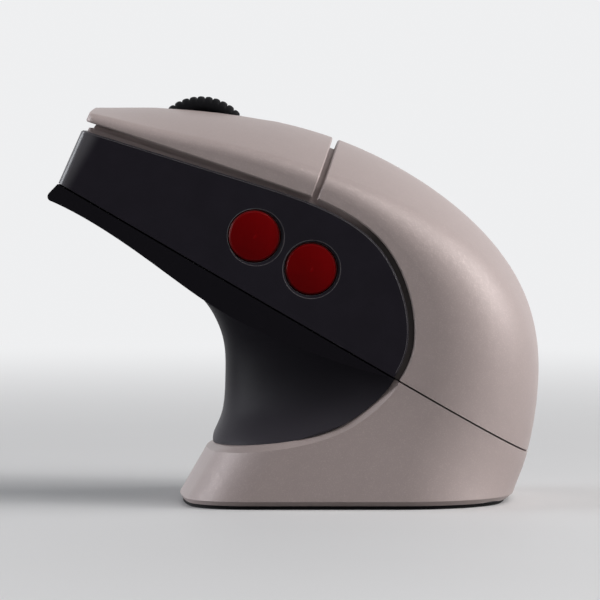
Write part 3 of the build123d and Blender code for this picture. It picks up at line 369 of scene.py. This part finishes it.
def dark_shell_finish(look):
    """Near-black satin plastic, spark-eroded, with painted highlights on its edges and its nose.
    """
    f = Finish("dark_shell_finish")
    colour = look.dark_colour
    grain = f.noise(5200.0, detail=3.0)
    behind_nose, above_sole = f.mouse_axes()
    # painted highlight along the edges, lighter colour and a coat, above the sole
    edge = f.edges(EDGE_REACH) * above_sole.step(*EDGE_START)
    # painted highlight on the nose, lighter colour and a coat, fading out behind it
    nose = 1 - behind_nose.step(*NOSE_END)
    tone = f.blend(f.noise(180.0), scaled(colour, 0.8), scaled(colour, 1.25))
    tone = f.blend(edge, tone, EDGE_PAINTED_HIGHLIGHT)
    tone = f.blend(nose, tone, NOSE_PAINTED_HIGHLIGHT)
    return f.finish(Base_Color=tone, Roughness=0.4 + grain * 0.14, Specular_IOR_Level=0.07,
                    Coat_Weight=edge.larger(nose) * 0.9, Coat_Roughness=0.22,
                    Normal=f.relief(grain, 14 * MICRON, 0.6))


def dark_neck_finish(look):
    """The dark plastic of the neck, dull, with painted shade above and a painted sheen towards its
    foot.
    """
    f = Finish("dark_neck_finish")
    grain = f.noise(5200.0, detail=3.0)
    # Painted light: a sheen at the foot and shade above it, their border blurred by noise
    height = f.add("ShaderNodeSeparateXYZ", {}, {"Vector": f.place})["Z"]
    height = height + f.noise(60.0) * 4 * MM
    tone = f.blend(height.step(*NECK_START), NECK_PAINTED_SHEEN, scaled(look.dark_colour, 0.42))
    return f.finish(Base_Color=tone, Roughness=0.38 + grain * 0.14, Specular_IOR_Level=0.05,
                    Normal=f.relief(grain, 14 * MICRON, 0.6))


def red_cap_finish(look):
    """Deep red moulded cap with a satin skin and a glossy rim."""
    f = Finish("red_cap_finish")
    colour = look.red_colour
    swirl = f.noise(420.0, detail=3.0)
    tone = f.blend(swirl, scaled(colour, 0.92), scaled(colour, 1.1))
    return f.finish(Base_Color=tone, Roughness=0.36 + swirl * 0.08, Specular_IOR_Level=0.05,
                    Coat_Weight=f.edges(EDGE_REACH) * 0.8, Coat_Roughness=0.2,
                    Normal=f.relief(f.noise(5200.0), 6 * MICRON, 0.5))


def rubber_finish(look):
    """Matte black rubber, a little dusty, lighter along its edges."""
    f = Finish("rubber_finish")
    colour = look.rubber_colour
    grain = f.noise(3600.0, detail=4.0)
    dust = f.noise(240.0, detail=3.0).step(0.5, 0.8)
    tone = f.blend(dust, colour, scaled(colour, 1.8))
    tone = f.blend(f.edges(0.2 * MM) * 0.6, tone, RUBBER_EDGE)
    return f.finish(Base_Color=tone, Roughness=0.6 + grain * 0.2, Specular_IOR_Level=0.1,
                    Normal=f.relief(grain, 20 * MICRON))


def plain_plastic_finish(name, colour, roughness=0.5):
    """Moulded plastic with a fine texture, for the working parts."""
    f = Finish(name)
    grain = f.noise(4200.0)
    tone = f.blend(f.noise(210.0), scaled(colour, 0.88), scaled(colour, 1.12))
    return f.finish(Base_Color=tone, Roughness=roughness + grain * 0.12, Specular_IOR_Level=0.3,
                    Normal=f.relief(grain, 15 * MICRON, 0.6))


def steel_finish():
    """Bright drawn steel with fine scratches."""
    f = Finish("steel_finish")
    lines = f.brushed(9000.0, (1.0, 0.06, 1.0))
    dull, bright = (0.5, 0.5, 0.52), (0.68, 0.68, 0.7)
    return f.finish(Base_Color=f.blend(lines, dull, bright), Metallic=1.0,
                    Roughness=0.22 + lines * 0.16, Normal=f.relief(lines, 6 * MICRON, 0.6))


def gold_finish():
    """Gold plate on the contacts."""
    f = Finish("gold_finish")
    wear = f.noise(1500.0, detail=3.0)
    dull, bright = (0.72, 0.5, 0.18), (0.86, 0.64, 0.28)
    return f.finish(Base_Color=f.blend(wear, dull, bright), Metallic=1.0,
                    Roughness=0.2 + wear * 0.15, Normal=f.relief(wear, 6 * MICRON, 0.5))


def cast_weight_finish():
    """Painted iron ballast with a cast skin and a little rust."""
    f = Finish("cast_weight_finish")
    skin = f.noise(1300.0, detail=4.0, roughness=0.6)
    rust = f.noise(300.0, detail=3.0).step(0.62, 0.75)
    paint, rusty = (0.05, 0.052, 0.055), (0.09, 0.055, 0.04)
    return f.finish(Base_Color=f.blend(rust, paint, rusty), Metallic=0.4,
                    Roughness=0.55 + skin * 0.25, Normal=f.relief(skin, 120 * MICRON))


def circuit_board_finish():
    """Green solder mask over copper tracks laid out on a grid."""
    f = Finish("circuit_board_finish")
    turned = f.add("ShaderNodeMapping", {},
                   {"Vector": f.place, "Rotation": (0, -TILT, 0)})["Vector"]
    tracks = f.add("ShaderNodeTexBrick", {"offset": 0.37, "squash": 1.0}, {
        "Vector": turned, "Scale": 260.0, "Mortar Size": 0.035, "Brick Width": 0.9,
        "Row Height": 0.28})["Fac"]
    glaze = f.noise(700.0)
    bare, copper = (0.012, 0.1, 0.035), (0.03, 0.2, 0.07)
    return f.finish(Base_Color=f.blend(tracks, bare, copper), Roughness=0.3 + glaze * 0.12,
                    Coat_Weight=0.3, Normal=f.relief(tracks, 30 * MICRON))


def battery_finish():
    """Crinkled aluminium pouch."""
    f = Finish("battery_finish")
    crease = f.cells(170.0) + f.noise(900.0, detail=3.0) * 0.5
    dull, bright = (0.48, 0.49, 0.5), (0.62, 0.63, 0.65)
    return f.finish(Base_Color=f.blend(f.noise(120.0), dull, bright), Metallic=0.85,
                    Roughness=0.34 + f.noise(1200.0) * 0.14,
                    Normal=f.relief(crease, 120 * MICRON, 0.6))


def lens_finish():
    """Clear moulded lens."""
    f = Finish("lens_finish")
    flow = f.noise(500.0, detail=1.0)
    return f.finish(Base_Color=(0.85, 0.88, 0.92), Roughness=0.08 + flow * 0.05, Alpha=0.35,
                    IOR=1.49, Normal=f.relief(flow, 10 * MICRON, 0.3))


def glide_finish():
    """Slippery white glide foot with fine wear lines."""
    f = Finish("glide_finish")
    lines = f.brushed(6000.0, (0.08, 1.0, 0.08))
    dull, bright = (0.62, 0.62, 0.6), (0.74, 0.74, 0.72)
    return f.finish(Base_Color=f.blend(lines, dull, bright), Roughness=0.42 + lines * 0.15,
                    Normal=f.relief(lines, 8 * MICRON, 0.6))


def make_finishes(look):
    """One finish for each material slot of the record."""
    return {
        "light_shell": light_shell_finish(look),
        "frame_shell": frame_shell_finish(look),
        "dark_shell": dark_shell_finish(look),
        "red_cap": red_cap_finish(look),
        "black_rubber": rubber_finish(look),
        "black_plastic": plain_plastic_finish("black_plastic_finish", (0.02, 0.02, 0.022)),
        "white_plastic": glide_finish(),
        "clear_plastic": lens_finish(),
        "circuit_board": circuit_board_finish(),
        "steel": steel_finish(),
        "cast_weight": cast_weight_finish(),
        "gold_contact": gold_finish(),
        "cell_foil": battery_finish(),
        "lead_sheath": plain_plastic_finish("lead_sheath_finish", (0.03, 0.03, 0.032), 0.45),
    }


# Pieces

finishes = {}
node_slots = {part["node"]: part["material_slot"] for part in frame["record"]["subparts"]}
node_body = {node: body for body, nodes in frame["record"]["behaviour"]["bodies"].items()
             for node in nodes}
MOUSE_BODY = node_body["mouse_tub"]
STAND_BODY = node_body["stand_base"]


def settled(obj, body, slot, *replaced):
    """Finishes a piece: its place in its mesh, its finish, its body and what it stands for."""
    obj.data.transform(obj.matrix_world)
    obj.matrix_world = Matrix.Identity(4)
    obj.data.materials.clear()
    obj.data.materials.append(finishes[slot])
    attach(obj, body)
    if replaced:
        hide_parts(*replaced)


def new_piece(name, data):
    """An object for a mesh, a lamp or a camera, linked to the scene."""
    obj = bpy.data.objects.new(name, data)
    bpy.context.scene.collection.objects.link(obj)
    return obj


def made_plain(obj):
    """Turns what the modifiers give into the object's own plain mesh."""
    bpy.context.view_layer.update()
    evaluated = obj.evaluated_get(bpy.context.evaluated_depsgraph_get())
    mesh = bpy.data.meshes.new_from_object(evaluated)
    obj.modifiers.clear()
    obj.data = mesh


def outward(mesh):
    """Turns all faces of a closed mesh outwards."""
    work = bmesh.new()
    work.from_mesh(mesh)
    bmesh.ops.recalc_face_normals(work, faces=work.faces)
    work.to_mesh(mesh)
    work.free()


def frame_matrix(origin, along, across):
    """Turns a piece made along X with its width along Y to lie at a place in the model's frame."""
    turned = Matrix((along, across, along.cross(across))).transposed().to_4x4()
    return Matrix.Translation(origin) @ turned


def on_main_board(u, y, along=ALONG, across=ACROSS):
    """The body and place of a piece on the mouse's board, behind the nose and off the middle."""
    return MOUSE_BODY, frame_matrix(at(u, MAIN_BOARD_TOP, y), along, across)


def on_stand_board(x, y):
    """The body and place of a piece on the stand's board."""
    return STAND_BODY, frame_matrix(Vector((x, y, STAND_BOARD_TOP)), LEVEL, ACROSS)


class Look(bpy.types.PropertyGroup):
    """Sizes and colours that a user would change."""

    light_colour: FloatVectorProperty(
        name="Light shell", description="Colour of the light shells",
        subtype="COLOR", default=(0.43, 0.355, 0.345), min=0, max=1)
    frame_colour: FloatVectorProperty(
        name="Frame", description="Colour of the frame between the shells",
        subtype="COLOR", default=(0.45, 0.37, 0.36), min=0, max=1)
    dark_colour: FloatVectorProperty(
        name="Dark shell", description="Colour of the dark body and neck",
        subtype="COLOR", default=(0.0165, 0.0143, 0.0205), min=0, max=1)
    red_colour: FloatVectorProperty(
        name="Thumb buttons", description="Colour of the two thumb buttons",
        subtype="COLOR", default=(0.19, 0.0, 0.001), min=0, max=1)
    rubber_colour: FloatVectorProperty(
        name="Rubber", description="Colour of the tyre and the foot",
        subtype="COLOR", default=(0.0045, 0.0045, 0.0055), min=0, max=1)
    ribs: IntProperty(
        name="Tyre ribs", description="Ribs round the wheel's tyre",
        default=40, min=12, max=80)
    rib_height: FloatProperty(
        name="Rib height", description="How far a rib stands out of the tyre",
        unit="LENGTH", default=0.5 * MM, min=0.0, max=1.5 * MM)
    contacts: IntProperty(
        name="Contacts", description="Contacts on each face of a socket's tongue",
        default=12, min=2, max=13)


class MOUSE_OT_finishes(bpy.types.Operator):
    """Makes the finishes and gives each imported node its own"""
    bl_idname = "mouse.finishes"
    bl_label = "Finishes"

    def execute(self, context):
        look = context.scene.mouse_look
        finishes.update(make_finishes(look))
        own = {"stand_neck": dark_neck_finish(look)}
        for name, obj in frame["nodes"].items():
            for place in obj.material_slots:
                place.material = own.get(name, finishes[node_slots[name]])
        return {"FINISHED"}


# The tyre's section starts at its left lip, runs over the outside to its right lip, and comes
# back through the bore, which is narrower than the tyre and holds the hub's rim.

TYRE_RADIUS = 11.6 * MM
TYRE_HALF = 3.45 * MM       # half the tyre's width
TYRE_BORE = 9.02 * MM       # radius on the hub's rim, with a little room
BORE_HALF = 3.14 * MM       # half the width of the hub's rim, with a little room
LIP_RADIUS = 8.1 * MM       # the side lips cover the hub's rim down to here
OUTER_STEPS = 24            # steps of the section over the outside
INNER_STEPS = 5             # steps round the two lips and through the bore
RIB_POINTS = 10             # points of the mesh round one rib
RIB_FULLNESS = 0.4          # 1 gives pointed ribs, less gives fuller ones
RIB_FADE = (0.2, 0.6)       # the ribs fade out down the sides, in parts of the section's height
SHOULDER_RISE = 0.36        # 1 gives a round section, less gives a square-shouldered one
SHOULDER_SPREAD = 0.62
SEAM = 2 * MICRON           # points nearer than this are merged


def wrapped(t, around, steps):
    """A grid to be bent round an axis: its mesh, its turn in radians and its step across."""
    grid = t.add("GeometryNodeMeshGrid", {}, {
        "Size X": 1.0, "Size Y": 1.0, "Vertices X": around + 1, "Vertices Y": steps + 1})["Mesh"]
    position = t.add("GeometryNodeInputPosition")["Position"]
    spot = t.add("ShaderNodeSeparateXYZ", {}, {"Vector": position})
    return grid, spot["X"] * (2 * math.pi), (spot["Y"] + 0.5) * steps


def bent(t, grid, place, slot):
    """Ends the tree with the grid's points in their places, its seam closed."""
    moved = t.add("GeometryNodeSetPosition", {}, {"Geometry": grid, "Position": place})
    whole = t.add("GeometryNodeMergeByDistance", {},
                  {"Geometry": moved["Geometry"], "Distance": SEAM})
    smooth = t.add("GeometryNodeSetShadeSmooth", {}, {"Geometry": whole["Geometry"]})
    return t.close(smooth["Geometry"], slot)


def tyre_shape():
    """Ribbed tyre: a grid wrapped round the wheel's axis, its crown raised in rounded ribs."""
    t = Shape("tyre_shape", Ribs=40, Rib_Height=0.5 * MM)
    ribs, rib_height = t.sizes["Ribs"], t.sizes["Rib_Height"]
    grid, turn, part = wrapped(t, ribs * RIB_POINTS, OUTER_STEPS + INNER_STEPS)
    outer = part.below(OUTER_STEPS + 0.5)

    # The outside swings from one lip over the crown to the other
    swing = (part / OUTER_STEPS).clamp() * math.pi - math.pi / 2
    sine, cosine = swing.sine(), swing.cosine().clamp()
    valley = 1 - abs((turn * ribs * 0.5).cosine()) ** RIB_FULLNESS
    rise = cosine ** SHOULDER_RISE * (TYRE_RADIUS - LIP_RADIUS)
    outside = rise + LIP_RADIUS - valley * cosine.step(*RIB_FADE) * rib_height
    spread = sine.sign() * abs(sine) ** SHOULDER_SPREAD * TYRE_HALF

    # The inside has five points: right lip, bore, bore, left lip, and the first point again
    middle = OUTER_STEPS + INNER_STEPS / 2
    inside = part.near(middle, 0.6) * (TYRE_BORE - LIP_RADIUS) + LIP_RADIUS
    side = part.below(middle) * 2 - 1
    half = part.near(middle, 1.6) * (BORE_HALF - TYRE_HALF) + TYRE_HALF

    radius = outside * outer + inside * (1 - outer)
    level = spread * outer + side * half * (1 - outer)
    place = t.vector(turn.cosine() * radius, level, turn.sine() * radius)
    return bent(t, grid, place, "black_rubber")


class MOUSE_OT_tyre(bpy.types.Operator):
    """Grows the ribbed rubber tyre of the scroll wheel"""
    bl_idname = "mouse.tyre"
    bl_label = "Tyre"

    def execute(self, context):
        look = context.scene.mouse_look
        obj = tyre_shape().grown("ribbed_tyre", Matrix.Translation(at(WHEEL_U, WHEEL_V)),
                                 Ribs=look.ribs, Rib_Height=look.rib_height)
        outward(obj.data)
        settled(obj, "wheel", "black_rubber", "wheel_tyre")
        return {"FINISHED"}


def contact_row_shape():
    """Row of gold contacts on both faces of a socket's tongue; X runs along the tongue."""
    t = Shape("contact_row_shape", Contacts=12, Pitch=0.5 * MM, Length=4.6 * MM,
              Width=0.26 * MM, Thickness=0.06 * MM, Tongue=0.7 * MM)
    strip = t.bar(t.sizes["Length"], t.sizes["Width"], t.sizes["Thickness"])
    row = t.row(strip, t.sizes["Contacts"], t.sizes["Pitch"])
    upper = t.moved(row, t.vector(z=t.sizes["Tongue"] * 0.5))
    lower = t.moved(row, t.vector(z=t.sizes["Tongue"] * -0.5))
    return t.close(t.joined(upper, lower), "gold_contact")


class MOUSE_OT_contacts(bpy.types.Operator):
    """Lays the gold contacts in the charging sockets of the mouse and the stand"""
    bl_idname = "mouse.contacts"
    bl_label = "Socket contacts"

    def execute(self, context):
        look = context.scene.mouse_look
        mouse_socket = at(3.5 * MM, 6.6 * MM)
        stand_socket = Vector((47.2, 0, 6.44)) * MM
        tongues = {
            "mouse_contacts": (MOUSE_BODY, frame_matrix(mouse_socket, ALONG, ACROSS)),
            "stand_contacts": (STAND_BODY, frame_matrix(stand_socket, LEVEL, ACROSS)),
        }
        for name, (body, place) in tongues.items():
            obj = contact_row_shape().grown(name, place, Contacts=look.contacts)
            settled(obj, body, "gold_contact")
        return {"FINISHED"}


# Chips stand on the board on bent legs: a foot lies on the board and a shin joins it to the
# package, whose side it stands against.

CHIP_WIDTH = 4.4 * MM
CHIP_HEIGHT = 0.9 * MM
CHIP_GAP = 0.08 * MM            # between the package and the board
LEG_PITCH = 0.65 * MM
LEG_WIDTH = 0.26 * MM
FOOT_LENGTH = 0.7 * MM
FOOT_HEIGHT = 0.12 * MM
SHIN_DEPTH = 0.14 * MM
SHIN_HEIGHT = 0.5 * MM
SHIN_START = 0.02 * MM          # above the board


def chip_package_shape():
    """A chip's moulded package, as long as its rows of legs."""
    t = Shape("chip_package_shape", Legs=8, Pitch=LEG_PITCH, Width=CHIP_WIDTH,
              Height=CHIP_HEIGHT)
    package = t.bar(t.sizes["Width"], t.sizes["Pitch"] * t.sizes["Legs"], t.sizes["Height"])
    standing = t.moved(package, t.vector(z=t.sizes["Height"] * 0.5 + CHIP_GAP))
    return t.close(standing, "black_plastic")


def chip_legs_shape():
    """A chip's bent legs, in a row on each side."""
    t = Shape("chip_legs_shape", Legs=8, Pitch=LEG_PITCH, Width=CHIP_WIDTH)
    foot = t.moved(t.bar(FOOT_LENGTH, LEG_WIDTH, FOOT_HEIGHT),
                   t.vector(x=FOOT_LENGTH / 2, z=FOOT_HEIGHT / 2))
    shin = t.moved(t.bar(SHIN_DEPTH, LEG_WIDTH, SHIN_HEIGHT),
                   t.vector(x=SHIN_DEPTH / 2, z=SHIN_START + SHIN_HEIGHT / 2))
    row = t.row(t.joined(foot, shin), t.sizes["Legs"], t.sizes["Pitch"])
    right = t.moved(row, t.vector(x=t.sizes["Width"] * 0.5))
    left = t.moved(row, t.vector(x=t.sizes["Width"] * -0.5), turn=math.pi)
    return t.close(t.joined(right, left), "steel")


def parts_row_shape():
    """Row of small tinned blocks."""
    t = Shape("parts_row_shape", Parts=5, Pitch=1.5 * MM, Length=1.0 * MM, Width=0.8 * MM,
              Height=0.5 * MM)
    block = t.bar(t.sizes["Length"], t.sizes["Width"], t.sizes["Height"])
    standing = t.moved(block, t.vector(z=t.sizes["Height"] * 0.5))
    return t.close(t.row(standing, t.sizes["Parts"], t.sizes["Pitch"]), "steel")


class MOUSE_OT_board_parts(bpy.types.Operator):
    """Sets chips and rows of small parts on the mouse's main board and on the stand's board"""
    bl_idname = "mouse.board_parts"
    bl_label = "Board parts"

    def execute(self, context):
        chips = {
            "radio_chip": (*on_main_board(36 * MM, 9 * MM), 8),
            "charge_chip": (*on_main_board(64 * MM, -8 * MM, ACROSS, -ALONG), 6),
            "stand_chip": (*on_stand_board(27 * MM, 0), 6),
        }
        for name, (body, place, legs) in chips.items():
            package = chip_package_shape().grown(name, place, Legs=legs)
            settled(package, body, "black_plastic")
            feet = chip_legs_shape().grown(name + "_legs", place, Legs=legs)
            settled(feet, body, "steel")
        rows = {
            "front_parts": on_main_board(42 * MM, -8 * MM),
            "rear_parts": on_main_board(64 * MM, 6 * MM),
            "stand_parts": on_stand_board(34 * MM, 6.5 * MM),
        }
        for name, (body, place) in rows.items():
            obj = parts_row_shape().grown(name, place)
            settled(obj, body, "steel")
        return {"FINISHED"}


# The stage. Places are in metres and powers in watts.

BACKDROP = (0.86, 0.865, 0.875)
FLOOR_RADIUS = 9.0
FLOOR_FADE = (0.12, 0.75)       # the floor turns into the backdrop between these distances
FLOOR_TONES = (0.74, 0.74, 0.75), (0.77, 0.77, 0.78)
FLOOR_BOUNCE = (0.22, 0.22, 0.22)       # what the floor throws back on the object
WORLD_FILL = 0.03               # light of the surroundings on the object
LAMP_SIZE = 0.7
LAMP_AIM = Vector((0, 0, 0.045))
LAMPS = {
    "right_lamp": ((1.1, -0.1, 0.5), 11.2, (1.0, 0.985, 0.97)),
    "high_lamp": ((0.6, -0.5, 0.95), 5.4, (1.0, 0.99, 0.98)),
    "left_lamp": ((-1.15, 0.05, 0.3), 9.6, (0.93, 0.96, 1.0)),
}
CAMERA_PLACE = Vector((0.0008, -1.0, 0.080))
CAMERA_AIM = Vector((0.0008, 0.0, 0.044))
FOCAL_LENGTH = 270.4            # mm
SENSOR_WIDTH = 36.0             # mm


def make_floor():
    """Pale floor that fades into the surroundings well away from the object."""
    work = bmesh.new()
    bmesh.ops.create_circle(work, cap_ends=True, segments=64, radius=FLOOR_RADIUS)
    mesh = bpy.data.meshes.new("floor")
    work.to_mesh(mesh)
    work.free()
    floor = new_piece("floor", mesh)
    f = Finish("floor_finish")
    glow = f.add("ShaderNodeEmission", {}, {"Color": BACKDROP, "Strength": 1.0})["Emission"]
    reach = f.add("ShaderNodeVectorMath", {"operation": "LENGTH"}, {0: f.place})["Value"]
    bounce = f.add("ShaderNodeLightPath")["Is Diffuse Ray"]
    tone = f.blend(bounce, f.blend(f.noise(9.0), *FLOOR_TONES), FLOOR_BOUNCE)
    lit = f.add("ShaderNodeBsdfPrincipled", {}, {"Base Color": tone, "Roughness": 0.6})["BSDF"]
    faded = reach.step(*FLOOR_FADE) * f.seen()
    mixed = f.add("ShaderNodeMixShader", {}, {0: faded, 1: lit, 2: glow})["Shader"]
    f.add("ShaderNodeOutputMaterial", {}, {"Surface": mixed})
    mesh.materials.append(f.material)


def make_world(scene):
    """Dim surroundings that the camera and the reflections see as pale."""
    world = bpy.data.worlds.new("surroundings")
    world.use_nodes = True
    tree = Tree(world.node_tree)
    world.node_tree.nodes.clear()
    strength = tree.seen() * (1 - WORLD_FILL) + WORLD_FILL
    background = tree.add("ShaderNodeBackground", {}, {"Color": BACKDROP, "Strength": strength})
    tree.add("ShaderNodeOutputWorld", {}, {"Surface": background["Background"]})
    scene.world = world


def aimed(obj, place, aim):
    """Puts a lamp or a camera at a place and turns it towards another."""
    obj.location = place
    obj.rotation_mode = "QUATERNION"
    obj.rotation_quaternion = (place - aim).to_track_quat("Z", "Y")


def make_lamp(name, place, power, colour):
    """Square soft lamp aimed at the middle of the object."""
    lamp = bpy.data.lights.new(name, "AREA")
    lamp.size = LAMP_SIZE
    lamp.energy = power
    lamp.color = colour
    aimed(new_piece(name, lamp), Vector(place), LAMP_AIM)


def make_camera(scene):
    """Camera at the photograph's place: level with the mouse, well back, on its left side."""
    camera = bpy.data.cameras.new("camera")
    camera.sensor_width = SENSOR_WIDTH
    camera.lens = FOCAL_LENGTH
    scene.camera = new_piece("camera", camera)
    aimed(scene.camera, CAMERA_PLACE, CAMERA_AIM)


class MOUSE_OT_stage(bpy.types.Operator):
    """Sets up the floor, the lamps, the world and the camera"""
    bl_idname = "mouse.stage"
    bl_label = "Stage"

    def execute(self, context):
        scene = context.scene
        scene.view_settings.view_transform = "Standard"
        make_floor()
        make_world(scene)
        for name, (place, power, colour) in LAMPS.items():
            make_lamp(name, place, power, colour)
        make_camera(scene)
        return {"FINISHED"}


class MOUSE_PT_panel(bpy.types.Panel):
    """Lists the sizes, the colours and the steps that dress the mouse and its stand"""
    bl_idname = "MOUSE_PT_panel"
    bl_label = "Mouse"
    bl_space_type = "VIEW_3D"
    bl_region_type = "UI"
    bl_category = "Mouse"

    def draw(self, context):
        look = context.scene.mouse_look
        for name in look.bl_rna.properties.keys():
            if name not in ("rna_type", "name"):
                self.layout.prop(look, name)
        for step in STEPS:
            self.layout.operator(step.bl_idname)


STEPS = (MOUSE_OT_finishes, MOUSE_OT_tyre, MOUSE_OT_contacts, MOUSE_OT_board_parts,
         MOUSE_OT_stage)
CLASSES = (Look, *STEPS, MOUSE_PT_panel)


def register():
    """Adds the classes and the look to Blender."""
    for cls in CLASSES:
        bpy.utils.register_class(cls)
    bpy.types.Scene.mouse_look = PointerProperty(type=Look)


def unregister():
    """Takes them away again."""
    del bpy.types.Scene.mouse_look
    for cls in reversed(CLASSES):
        bpy.utils.unregister_class(cls)


def main():
    """Registers the add-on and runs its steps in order."""
    register()
    for step in STEPS:
        group, name = step.bl_idname.split(".")
        getattr(getattr(bpy.ops, group), name)()


if __name__ == "__main__":
    main()
